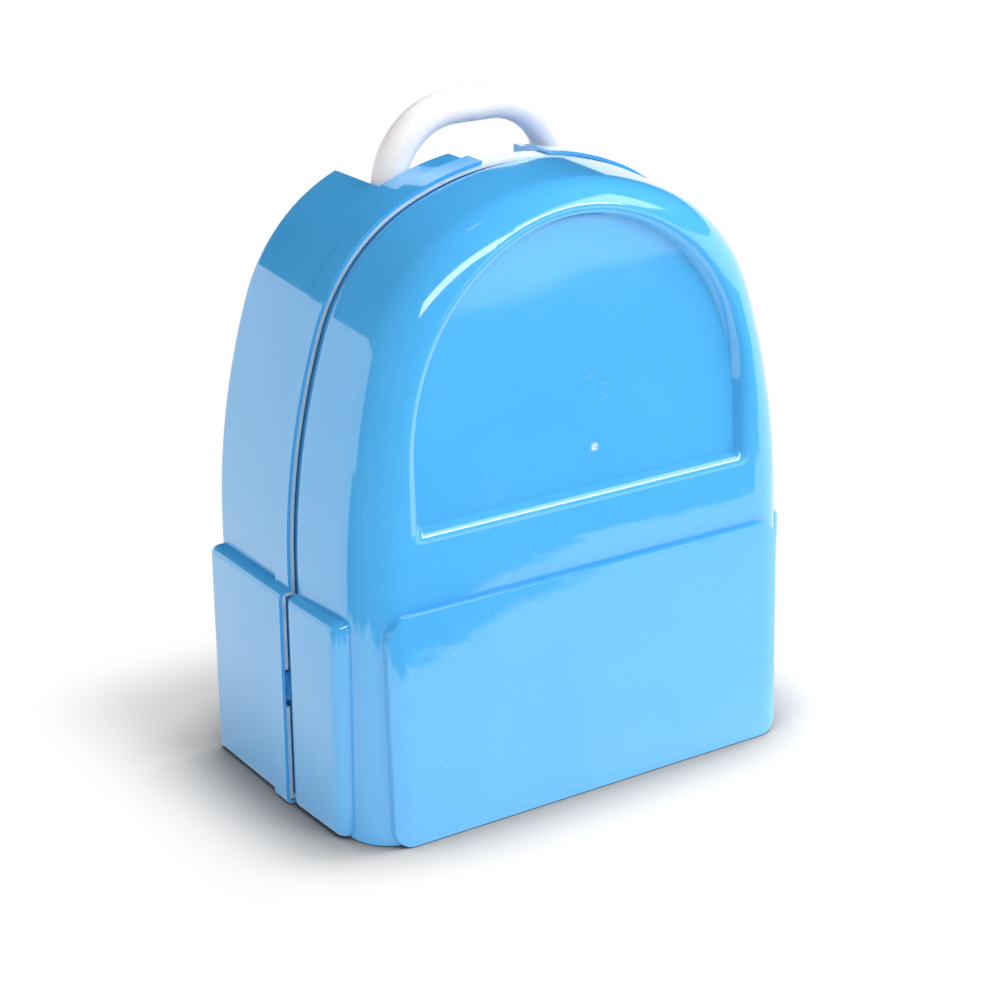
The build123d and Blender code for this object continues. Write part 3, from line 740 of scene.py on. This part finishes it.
def make_tray():
    """White tray: rim that shows in the seam, plate on the ledge, and round-edged compartments."""
    tray = finished(slab(TRAY_INSET, TRAY_INSET, TRAY_FRONT, LEDGE_DEPTH), "tray")
    combined(tray, pocket_blocks(TRAY_INSET, TRAY_FRONT, LEDGE_DEPTH), "UNION")
    inner = TRAY_INSET + TRAY_RIM
    front, plate = TRAY_FRONT - OVERCUT, LEDGE_DEPTH - TRAY_WALL
    combined(tray, [slab(inner, inner, front, plate)] + pocket_blocks(inner, front, plate), "DIFFERENCE")
    combined(tray, [basin_block(*space, TRAY_WALL) for space in BASINS], "UNION")
    combined(tray, [basin_block(*space, 0) for space in BASINS], "DIFFERENCE")
    window = box_mesh(-POCKET_HALF_WIDTH, RIM_INSET - POCKET_HALF_WIDTH, front, plate,
                      CATCH_HEIGHT - CATCH_WINDOW / 2, CATCH_HEIGHT + CATCH_WINDOW / 2)
    bores = [rod_mesh((x, BASIN_FLOOR - OVERCUT, z), (x, BASIN_FLOOR + TRAY_WALL + OVERCUT, z), SCREW_BORE)
             for x, z in SCREW_PLACES]
    combined(tray, [window] + bores, "DIFFERENCE")
    return polished(tray)


def make_handle():
    """Round bow handle with ball feet, from one section carried round the bow."""
    line = HANDLE_TOP - HANDLE_RADIUS
    route = rounded([(-HANDLE_HALF_SPAN, PIVOT_HEIGHT), (-HANDLE_HALF_SPAN, line),
                     (HANDLE_HALF_SPAN, line), (HANDLE_HALF_SPAN, PIVOT_HEIGHT)],
                    [HANDLE_BEND, HANDLE_BEND], steps=32)
    rings = []
    for index, point in enumerate(route):
        ahead = route[min(index + 1, len(route) - 1)]
        behind = route[max(index - 1, 0)]
        out = (ahead - behind).normalized()
        out = Vector((-out.y, out.x))
        ring = []
        for step in range(BOW_SIDES):
            angle = 2 * pi * step / BOW_SIDES
            flat = point + out * HANDLE_RADIUS * cos(angle)
            ring.append(Vector((flat.x, HANDLE_Y + HANDLE_RADIUS * sin(angle), flat.y)))
        rings.append(ring)
    for end, way in ((0, 1), (-1, -1)):
        base = rings[end]
        balls = []
        for step in range(1, BALL_STEPS + 1):
            angle = pi / 2 * step / (BALL_STEPS + 0.5)
            centre = Vector((way * -HANDLE_HALF_SPAN, HANDLE_Y, PIVOT_HEIGHT))
            balls.append([centre + (p - centre) * cos(angle) + Vector((0, 0, -HANDLE_RADIUS * sin(angle)))
                          for p in base])
        rings = balls[::-1] + rings if way == 1 else rings + balls
    handle = finished(loft(rings), "carry_bow")
    outside = HANDLE_HALF_SPAN + HANDLE_RADIUS
    ends = (outside - PIN_ENGAGE, outside + OVERCUT)
    bores = [rod_mesh(*((side * x, HANDLE_Y, PIVOT_HEIGHT) for x in ends), HANDLE_BORE) for side in (1, -1)]
    combined(handle, bores, "DIFFERENCE")
    return polished(handle)


def strap_points(side):
    """Route of a strap: out of its slot, over a soft arch, through the adjuster and down to its slot."""
    x, z = UPPER_ANCHOR
    drop, drift = z - ADJUSTER_HIGH.z, ADJUSTER_HIGH.x - x
    points = [(x, REAR_DEPTH - WALL, z), (x, REAR_DEPTH + 0.16 * STRAP_BULGE, z)]
    # Shares of the way down to the adjuster and of the bulge, then millimetres on the adjuster
    for down, out in ((0.026, 0.40), (0.087, 0.64), (0.24, 0.92), (0.48, 1.0), (0.72, 0.96)):
        points.append((x + drift * down ** 1.1, REAR_DEPTH + out * STRAP_BULGE, z - down * drop))
    place = adjuster_place(1)
    for up, out in ((12, 0), (8.5, 0.1), (6, 1.4), (4.2, 3.8), (2.6, 5.8), (0, 6.4), (-2.6, 5.8),
                    (-4.2, 3.8), (-6, 1.4), (-8.5, 0.1), (-12, 0)):
        points.append(place @ Vector((0, up, out)))
    x, z = LOWER_ANCHOR
    rise, reach, drift = ADJUSTER_LOW.z - z, ADJUSTER_LOW.y - REAR_DEPTH, ADJUSTER_LOW.x - x
    # Shares of the way up to the adjuster and of its distance from the shell
    for up, out in ((0.58, 0.71), (0.26, 0.54), (0.066, 0.36), (0.0, 0.14)):
        points.append((x + drift * up, REAR_DEPTH + out * reach, z + up * rise))
    points.append((x, REAR_DEPTH - WALL, z))
    return [Vector((side * p[0], p[1], p[2])) for p in points]


def adjuster_place(side):
    """Matrix of an adjuster: X across the strap, Y up along it, Z outwards, origin on the webbing."""
    low, high = (Vector((side * p.x, p.y, p.z)) for p in (ADJUSTER_LOW, ADJUSTER_HIGH))
    up = (high - low).normalized()
    across = (Vector((1, 0, 0)) - up * up.x).normalized()
    out = across.cross(up)
    if out.y < 0:
        across, out = -across, -out
    turn = Matrix((across, up, out)).transposed().to_4x4()
    return Matrix.Translation((low + high) / 2) @ turn


def smooth_route(points, step):
    """Points of a smooth curve through the given ones, about a step apart, that doesn't overshoot."""
    route = []
    for index in range(len(points) - 1):
        a, b = points[index], points[index + 1]
        before = points[index - 1] if index else a + (a - b)
        after = points[index + 2] if index + 2 < len(points) else b + (b - a)
        t0, t1, t2 = (sqrt(length) for length in ((a - before).length, (b - a).length, (after - b).length))
        m1 = (a - before) / t0 - (b - before) / (t0 + t1) + (b - a) / t1
        m2 = (b - a) / t1 - (after - a) / (t1 + t2) + (after - b) / t2
        m1, m2 = m1 * t1, m2 * t1
        count = max(2, round((b - a).length / step))
        for k in range(count):
            t = k / count
            route.append(a * (2 * t ** 3 - 3 * t ** 2 + 1) + m1 * (t ** 3 - 2 * t ** 2 + t) +
                         b * (3 * t ** 2 - 2 * t ** 3) + m2 * (t ** 3 - t ** 2))
    return route + [points[-1]]


def make_strap(side, name):
    """Webbing strap with softly rounded edges, in one run from slot to slot."""
    route = smooth_route(strap_points(side), STRAP_STEP)
    half, thick = STRAP_WIDTH / 2, STRAP_THICKNESS / 2
    edge = [(half - thick + thick * cos(a), thick * sin(a)) for a in
            (pi / 2 * (k / 3 - 1) for k in range(7))]
    flat = [half * k / 4 for k in (3, 2, 1, 0, -1, -2, -3)]
    section = edge + [(x, thick) for x in flat] + [(-x, -y) for x, y in edge] + [(-x, -thick) for x in flat]
    rings, labels, run = [], [], 0.0
    for index, point in enumerate(route):
        ahead, behind = route[min(index + 1, len(route) - 1)], route[max(index - 1, 0)]
        tangent = (ahead - behind).normalized()
        across = (Vector((1, 0, 0)) - tangent * tangent.x).normalized()
        out = across.cross(tangent)
        run += (point - route[max(index - 1, 0)]).length
        rings.append([point + across * x + out * y for x, y in section])
        labels.append([(run, x) for x, _ in section])
    return polished(finished(loft(rings, labels), name), angle=50)


def make_adjuster(side, name):
    """Three-bar slide: moulded frame with two slots, all edges rounded."""
    wide, tall, bar = ADJUSTER_WIDTH / 2, ADJUSTER_HEIGHT / 2, ADJUSTER_BAR
    low = STRAP_THICKNESS / 2 + ADJUSTER_CLEARANCE
    slide = box_mesh(-wide, wide, -tall, tall, low, low + ADJUSTER_THICKNESS)
    soften(slide, ADJUSTER_CORNER, steps=8, keep=lambda e: along(e).z > PARALLEL)
    slide = finished(slide, name)
    slots = [box_mesh(bar - wide, wide - bar, *sorted((row * bar / 2, row * (tall - bar))),
                      0, ADJUSTER_SLOT_TOP) for row in (1, -1)]
    for slot in slots:
        soften(slot, LEAST_RADIUS, steps=4, keep=lambda e: along(e).z > PARALLEL)
    combined(slide, slots, "DIFFERENCE")
    bm = reopened(slide)
    soften(bm, ADJUSTER_EDGE, steps=4, keep=lambda e: e.calc_face_angle(0) > radians(60) and
           along(e).z < 0.5)
    bmesh.ops.transform(bm, matrix=adjuster_place(side), verts=bm.verts)
    return polished(finished(bm, name), angle=40)


def make_screws(name):
    """Pan head screws with domed heads and cross recesses, that hold the tray to the rear shell."""
    screws = bmesh.new()
    for x, z in SCREW_PLACES:
        top = BASIN_FLOOR - SCREW_HEAD
        head = rod_mesh((x, top, z), (x, BASIN_FLOOR, z), SCREW_HEAD_RADIUS, steps=40)
        soften(head, SCREW_DOME, steps=6, keep=lambda e: all(v.co.y < top + SLIVER for v in e.verts))
        screw = finished(head, "screw")
        shank = rod_mesh((x, BASIN_FLOOR - SHANK_ROOT, z), (x, BASIN_FLOOR + SCREW_LENGTH, z),
                         SCREW_RADIUS, steps=32)
        arms = [box_mesh(x - a, x + a, top - OVERCUT, top + CROSS_DEEP, z - b, z + b)
                for a, b in ((CROSS_LONG, CROSS_WIDE), (CROSS_WIDE, CROSS_LONG))]
        combined(screw, [shank], "UNION")
        combined(screw, arms, "DIFFERENCE")
        screws.from_mesh(screw.data)
        bpy.data.objects.remove(screw)
    return polished(new_object(screws, name), angle=35)


# Materials

def srgb(code):
    """Linear colour from an sRGB hex value."""
    parts = [int(code[i:i + 2], 16) / 255 for i in (0, 2, 4)]
    return [p / 12.92 if p <= 0.04045 else ((p + 0.055) / 1.055) ** 2.4 for p in parts] + [1.0]


def node(tree, kind, inputs, **settings):
    """Adds a node with its settings and its inputs, set or linked to sockets, and gives its outputs."""
    made = tree.nodes.new("ShaderNode" + kind)
    for key, value in settings.items():
        setattr(made, key, value)
    for key, value in inputs.items():
        if isinstance(value, bpy.types.NodeSocket):
            tree.links.new(value, made.inputs[key])
        else:
            made.inputs[key].default_value = value
    return made.outputs


def new_material(name):
    """Empty material, its tree, and the place of a point on the piece, in metres."""
    material = bpy.data.materials.new(name)
    material.use_nodes = True
    tree = material.node_tree
    tree.nodes.clear()
    return material, tree, node(tree, "TexCoord", {})["Object"]


def mottle(tree, place, size, detail, spread, ends=(0, 1), rough=0.5):
    """Noise with lumps of a size in millimetres, that goes between the ends over its spread."""
    lumps = node(tree, "TexNoise", {
        "Vector": place, "Scale": 1 / (size * MM), "Detail": detail, "Roughness": rough})["Fac"]
    return node(tree, "MapRange", {
        "Value": lumps, "From Min": spread[0], "From Max": spread[1],
        "To Min": ends[0], "To Max": ends[1]})[0]


def blue_plastic():
    """Moulded polypropylene in high gloss: sharp lamp edges, a slight ripple, scuffs and a gate mark."""
    material, tree, place = new_material("moulded_polypropylene_sky_blue")
    cloud = mottle(tree, place, size=60, detail=3, spread=CLOUD_SPREAD)
    shade = node(tree, "Mix", {"Factor": cloud, "A": srgb("4DB2F5"), "B": srgb("53B7F7")},
                 data_type="RGBA")["Result"]
    depth = node(tree, "SeparateXYZ", {"Vector": place})["Y"]
    marks = node(tree, "MapRange", {
        "Value": depth, "From Min": SCUFF_START * MM, "From Max": SCUFF_FULL * MM})[0]
    patches = mottle(tree, place, size=24, detail=3, spread=(0.5, 0.72))
    specks = mottle(tree, place, size=1.2, detail=5, spread=(0.56, 0.74), rough=0.75)
    for share in (patches, specks, SCUFF_STRENGTH):
        marks = node(tree, "Math", {0: marks, 1: share}, operation="MULTIPLY")[0]
    reach = node(tree, "VectorMath", {0: place, 1: Vector(GATE_MARK) * MM}, operation="DISTANCE")["Value"]
    away = node(tree, "Math", {0: reach, 1: GATE_RADIUS * MM}, operation="SUBTRACT")[0]
    away = node(tree, "Math", {0: away}, operation="ABSOLUTE")[0]
    ring = node(tree, "MapRange", {
        "Value": away, "From Min": 0, "From Max": GATE_LINE * MM, "To Min": 1, "To Max": 0})[0]
    broken = mottle(tree, place, size=1.6, detail=2, spread=(0.4, 0.55))
    ring = node(tree, "Math", {0: ring, 1: broken}, operation="MULTIPLY")[0]
    marks = node(tree, "Math", {0: marks, 1: ring}, operation="MAXIMUM")[0]
    shade = node(tree, "Mix", {"Factor": marks, "A": shade, "B": srgb("E8F4FC")},
                 data_type="RGBA")["Result"]
    ripple = node(tree, "TexNoise", {"Vector": place, "Scale": 1 / (28 * MM), "Detail": 1})["Fac"]
    relief = node(tree, "Bump", {"Height": ripple, "Strength": 0.08, "Distance": 0.4 * MM})[0]
    rub = mottle(tree, place, size=9, detail=6, spread=RUB_SPREAD, ends=(0.06, 0.16), rough=0.7)
    shader = node(tree, "BsdfPrincipled", {
        "Base Color": shade, "Roughness": rub, "Normal": relief, "IOR": 1.6,
        "Coat Weight": 1.0, "Coat Roughness": 0.02, "Coat IOR": 1.6})[0]
    node(tree, "OutputMaterial", {"Surface": shader})
    return material


def white_plastic():
    """Moulded polypropylene in white, semi-gloss: soft highlights and a very slight mottle."""
    material, tree, place = new_material("moulded_polypropylene_white")
    cloud = mottle(tree, place, size=30, detail=3, spread=CLOUD_SPREAD)
    shade = node(tree, "Mix", {"Factor": cloud, "A": srgb("F6F5F7"), "B": srgb("FCFBFC")},
                 data_type="RGBA")["Result"]
    ripple = node(tree, "TexNoise", {"Vector": place, "Scale": 1 / (16 * MM), "Detail": 1})["Fac"]
    relief = node(tree, "Bump", {"Height": ripple, "Strength": 0.05, "Distance": 0.3 * MM})[0]
    rub = mottle(tree, place, size=7, detail=5, spread=RUB_SPREAD, ends=(0.22, 0.36), rough=0.7)
    shader = node(tree, "BsdfPrincipled", {
        "Base Color": shade, "Roughness": rub, "Normal": relief, "IOR": 1.45,
        "Subsurface Weight": 0.5, "Subsurface Scale": 8 * MM})[0]
    node(tree, "OutputMaterial", {"Surface": shader})
    return material


def woven_webbing():
    """Woven polypropylene webbing, dull: rows of crossing yarns, drawn coarse so that they show."""
    material, tree = new_material("woven_polypropylene_webbing")[:2]
    run, across = (node(tree, "Attribute", {}, attribute_name=name)["Fac"]
                   for name in ("run", "across"))
    waves = []
    for operation in ("ADD", "SUBTRACT"):
        slant = node(tree, "Math", {0: run, 1: across}, operation=operation)[0]
        turn = node(tree, "Math", {0: slant, 1: pi / YARN_PITCH}, operation="MULTIPLY")[0]
        waves.append(node(tree, "Math", {0: turn}, operation="SINE")[0])
    crossing = node(tree, "Math", {0: waves[0], 1: waves[1]}, operation="MULTIPLY")[0]
    weave = node(tree, "MapRange", {"Value": crossing, "From Min": -1, "From Max": 1})[0]
    shade = node(tree, "Mix", {"Factor": weave, "A": srgb("1B1C20"), "B": srgb("36383E")},
                 data_type="RGBA")["Result"]
    relief = node(tree, "Bump", {"Height": weave, "Strength": 0.7, "Distance": 0.35 * MM})[0]
    shader = node(tree, "BsdfPrincipled", {
        "Base Color": shade, "Normal": relief, "IOR": 1.49, "Roughness": 0.85, "Sheen Weight": 0.25,
        "Sheen Roughness": 0.5})[0]
    node(tree, "OutputMaterial", {"Surface": shader})
    return material


def dark_acetal():
    """Moulded acetal in black, satin: a faint even grain from the mould."""
    material, tree, place = new_material("moulded_acetal_black")
    grain = node(tree, "TexNoise", {"Vector": place, "Scale": 1 / (0.9 * MM), "Detail": 3})["Fac"]
    level = {"Value": grain, "From Min": CLOUD_SPREAD[0], "From Max": CLOUD_SPREAD[1]}
    cloud = node(tree, "MapRange", level)[0]
    gloss = node(tree, "MapRange", {**level, "To Min": 0.38, "To Max": 0.5})[0]
    shade = node(tree, "Mix", {"Factor": cloud, "A": srgb("202125"), "B": srgb("2A2B30")},
                 data_type="RGBA")["Result"]
    relief = node(tree, "Bump", {"Height": grain, "Strength": 0.15, "Distance": 0.05 * MM})[0]
    shader = node(tree, "BsdfPrincipled", {
        "Base Color": shade, "Roughness": gloss, "Normal": relief, "IOR": 1.48})[0]
    node(tree, "OutputMaterial", {"Surface": shader})
    return material


def drawn_steel():
    """Drawn steel wire, zinc plated: bright with fine lines along the pin."""
    material, tree, place = new_material("zinc_plated_steel")
    stretched = node(tree, "Mapping", {"Vector": place, "Scale": (1.0, 1.0, 0.06)})[0]
    lines = mottle(tree, stretched, size=0.4, detail=3, spread=CLOUD_SPREAD)
    shade = node(tree, "Mix", {"Factor": lines, "A": srgb("A9ABAE"), "B": srgb("C8CACC")},
                 data_type="RGBA")["Result"]
    gloss = mottle(tree, stretched, size=0.4, detail=3, spread=CLOUD_SPREAD, ends=(0.25, 0.4))
    shader = node(tree, "BsdfPrincipled", {"Base Color": shade, "Roughness": gloss, "Metallic": 1.0})[0]
    node(tree, "OutputMaterial", {"Surface": shader})
    return material


BLUE = blue_plastic()
WHITE = white_plastic()
WEBBING = woven_webbing()
BLACK = dark_acetal()
STEEL = drawn_steel()
BLACK_MOLTON = {"Base Color": srgb("0B0B0D"), "Roughness": 0.95, "Specular IOR Level": 0.0}
PLAIN_WHITE = srgb("FFFFFF")


# Stage, in metres

def plainly_seen(tree):
    """1 for a ray that shows a thing, straight, in gloss or through glass, and 0 for falling light."""
    path = node(tree, "LightPath", {})
    seen = path["Is Camera Ray"]
    for other in ("Is Glossy Ray", "Is Transmission Ray"):
        seen = node(tree, "Math", {0: seen, 1: path[other]}, operation="MAXIMUM")[0]
    return seen


def white_sweep():
    """White paper floor: shaded near the object, so that its shadow stays, with a painted contact shade
    where it meets the object, and plain white further off.
    """
    material, tree, place = new_material("white_paper_sweep")
    # Painted contact shade: ambient occlusion darkens the paper's colour towards dark grey where the object
    # is close, for camera rays only
    painted_contact_shade = node(tree, "AmbientOcclusion", {"Distance": CONTACT_SHADE_REACH})["AO"]
    painted_contact_shade = node(tree, "MapRange", {
        "Value": painted_contact_shade, "From Min": CONTACT_SHADE_SPREAD[0], "From Max": CONTACT_SHADE_SPREAD[1]})[0]
    straight = node(tree, "LightPath", {})["Is Camera Ray"]
    aside = node(tree, "Math", {0: 1.0, 1: straight}, operation="SUBTRACT")[0]
    unshaded_share = node(tree, "Math", {0: painted_contact_shade, 1: aside}, operation="MAXIMUM")[0]
    shade = node(tree, "Mix", {"Factor": unshaded_share, "A": srgb("605E5D"), "B": srgb("F9F5F0")},
                 data_type="RGBA")["Result"]
    paper = node(tree, "BsdfPrincipled", {
        "Base Color": shade, "Roughness": 0.9, "Specular IOR Level": 0.1})[0]
    reach = place
    for operation, value in (("SUBTRACT", SHADOW_MIDDLE), ("ABSOLUTE", (0, 0, 0)),
                             ("SUBTRACT", SHADOW_HALF), ("MAXIMUM", (0, 0, 0))):
        reach = node(tree, "VectorMath", {0: reach, 1: value}, operation=operation)["Vector"]
    reach = node(tree, "VectorMath", {0: reach}, operation="LENGTH")["Value"]
    clear = node(tree, "MapRange", {"Value": reach, "From Min": 0, "From Max": SHADOW_FADE},
                 interpolation_type="SMOOTHSTEP")[0]
    plain = node(tree, "Math", {0: plainly_seen(tree), 1: clear}, operation="MULTIPLY")[0]
    white = node(tree, "Emission", {"Color": PLAIN_WHITE, "Strength": 1.0})[0]
    mix = node(tree, "MixShader", {0: plain, 1: paper, 2: white})[0]
    node(tree, "OutputMaterial", {"Surface": mix})
    return material


def dark_cloth():
    """Black cloth over the table's front part, with a wavy hem; only reflections see it."""
    material, tree, place = new_material("black_molton_cloth")
    wave = mottle(tree, place, size=90, detail=4, spread=CLOUD_SPREAD, ends=(-HEM_SWAY, HEM_SWAY))
    sway = node(tree, "CombineXYZ", {"Y": wave})[0]
    wavy = node(tree, "VectorMath", {0: place, 1: sway}, operation="ADD")[0]

    def along_line(point, direction):
        """How far a point lies along a direction."""
        return node(tree, "VectorMath", {0: point, 1: direction}, operation="DOT_PRODUCT")["Value"]

    def covered(run, bare, full, most=1):
        """0 where the run is at bare, and the most where it is at full."""
        return node(tree, "MapRange", {
            "Value": run, "From Min": bare, "From Max": full, "To Max": most})[0]

    x = along_line(place, (1, 0, 0))
    hem = node(tree, "Math", {
        0: along_line(wavy, (0, 1, 0)), 1: covered(x, *HEM_TURN, HEM_RETREAT)}, operation="ADD")[0]
    aside = node(tree, "VectorMath", {0: place, 1: LEFT_EDGE_MIDDLE}, operation="DISTANCE")["Value"]
    aside = node(tree, "Math", {0: aside, 1: wave}, operation="ADD")[0]
    beside = node(tree, "Math", {
        0: covered(aside, *LEFT_EDGE_RADII), 1: covered(x, *LEFT_EDGE_START)}, operation="MULTIPLY")[0]
    mask = node(tree, "Math", {0: covered(hem, *CLOTH_HEM), 1: beside}, operation="MAXIMUM")[0]
    far_end = covered(along_line(wavy, CLOTH_END_WAY), *CLOTH_END)
    no_end = covered(along_line(place, CLOTH_NO_END_WAY), *CLOTH_NO_END)
    end = node(tree, "Math", {0: far_end, 1: no_end}, operation="MAXIMUM")[0]
    rear = covered(along_line(place, CLOTH_REAR_WAY), *CLOTH_REAR)
    for limit in (end, rear):
        mask = node(tree, "Math", {0: mask, 1: limit}, operation="MULTIPLY")[0]
    clear = node(tree, "BsdfTransparent", {})[0]
    cloth = node(tree, "BsdfPrincipled", BLACK_MOLTON)[0]
    mix = node(tree, "MixShader", {0: mask, 1: clear, 2: cloth})[0]
    node(tree, "OutputMaterial", {"Surface": mix})
    return material


def tent_cloth():
    """Black cloth of the tent, all over."""
    material, tree = new_material("black_molton_tent")[:2]
    cloth = node(tree, "BsdfPrincipled", BLACK_MOLTON)[0]
    node(tree, "OutputMaterial", {"Surface": cloth})
    return material


def staged(bm, name, material, reflected_only=False):
    """Puts a mesh in metres on the stage, where reflections alone see one that is reflected only."""
    thing = new_object(bm, name)
    thing.data.materials.append(material)
    if reflected_only:
        thing.visible_camera = thing.visible_diffuse = thing.visible_shadow = False
        thing.visible_transmission = thing.visible_volume_scatter = False
    return thing


def flat_sheet(half):
    """Level square sheet, from its half size."""
    bm = bmesh.new()
    bmesh.ops.create_grid(bm, x_segments=1, y_segments=1, size=half)
    return bm


def tent_mesh():
    """Tent round the table with a hole at its top, open at its foot but for the front left."""
    rings = []
    for radius, height in TENT_RINGS:
        ring = []
        for degrees in range(-180, 180, TENT_STEP):
            closed = height == TENT_FOOT and TENT_CLOSED[0] < degrees < TENT_CLOSED[1]
            ring.append(Vector((radius * sin(radians(degrees)), -radius * cos(radians(degrees)),
                                TENT_LOW if closed else height)))
        rings.append(ring)
    return loft(rings, capped=False)


def pale_world():
    """White surroundings that light the object at a lower level than they show."""
    world = bpy.data.worlds.new("studio")
    bpy.context.scene.world = world
    world.use_nodes = True
    tree = world.node_tree
    tree.nodes.clear()
    fill, plain = (node(tree, "Background", {"Color": PLAIN_WHITE, "Strength": strength})[0]
                   for strength in (FILL, 1.0))
    mix = node(tree, "MixShader", {0: plainly_seen(tree), 1: fill, 2: plain})[0]
    node(tree, "OutputWorld", {"Surface": mix})


def place_camera():
    """Camera at the photo's angle, solved from the edges of the body."""
    azimuth, elevation, roll = (radians(angle) for angle in CAMERA_ANGLES)
    back = Vector((-sin(azimuth) * cos(elevation), -cos(azimuth) * cos(elevation), sin(elevation)))
    right = Vector((cos(azimuth), -sin(azimuth), 0))
    up = back.cross(right)
    turned_right = right * cos(roll) - up * sin(roll)
    turned_up = right * sin(roll) + up * cos(roll)
    data = bpy.data.cameras.new("camera")
    data.sensor_width = 36
    data.lens = FOCAL_PIXELS / FRAME_PIXELS * data.sensor_width
    data.shift_x = -SHIFT_PIXELS / FRAME_PIXELS
    camera = bpy.data.objects.new("camera", data)
    bpy.context.scene.collection.objects.link(camera)
    turn = Matrix((turned_right, turned_up, back)).transposed().to_4x4()
    camera.matrix_world = Matrix.Translation((Vector(CAMERA_TARGET) + back * CAMERA_DISTANCE) * MM) @ turn
    bpy.context.scene.camera = camera


def softbox(name, place, aim, width, height, power, in_gloss):
    """Rectangular lamp that points at a place, in metres and watts, and shows in the gloss or not."""
    data = bpy.data.lights.new(name, "AREA")
    data.shape = "RECTANGLE"
    data.size, data.size_y, data.energy = width, height, power
    thing = bpy.data.objects.new(name, data)
    bpy.context.scene.collection.objects.link(thing)
    thing.location = place
    thing.rotation_euler = (Vector(aim) - Vector(place)).to_track_quat("-Z", "Y").to_euler()
    thing.visible_glossy = in_gloss


staged(flat_sheet(FLOOR_HALF), "floor", white_sweep())
cloth = staged(flat_sheet(CLOTH_HALF), "table_front_cloth", dark_cloth(), reflected_only=True)
cloth.location.z = CLOTH_HEIGHT
staged(tent_mesh(), "dark_tent", tent_cloth(), reflected_only=True)
pale_world()
for lamp in LAMPS:
    softbox(*lamp)


def dress(thing, body, node_names, material):
    """Gives a new piece its material and its place in the frame."""
    thing.data.materials.clear()
    thing.data.materials.append(material)
    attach(thing, body)
    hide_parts(*node_names)


dress(make_front_shell(), "front", ["front_shell"], BLUE)
dress(make_rear_shell(), "back", ["rear_shell"], BLUE)
dress(make_tray(), "back", ["inner_tray"], WHITE)
dress(make_handle(), "carry_handle", ["handle"], WHITE)
dress(make_screws("tray_screw_heads"), "back", ["tray_screws"], STEEL)
for word, side in (("left", -1), ("right", 1)):
    dress(make_strap(side, "strap_webbing_" + word), "back",
          ["shoulder_strap_" + word, "lower_strap_" + word], WEBBING)
    dress(make_adjuster(side, "strap_slide_" + word), "back", ["strap_adjuster_" + word],
          BLACK)
for name, thing in frame["nodes"].items():
    if "pin" in name or "keeper" in name:
        thing.data.materials.clear()
        thing.data.materials.append(STEEL if "pin" in name else BLACK)

place_camera()
bpy.context.scene.view_settings.view_transform = "Standard"
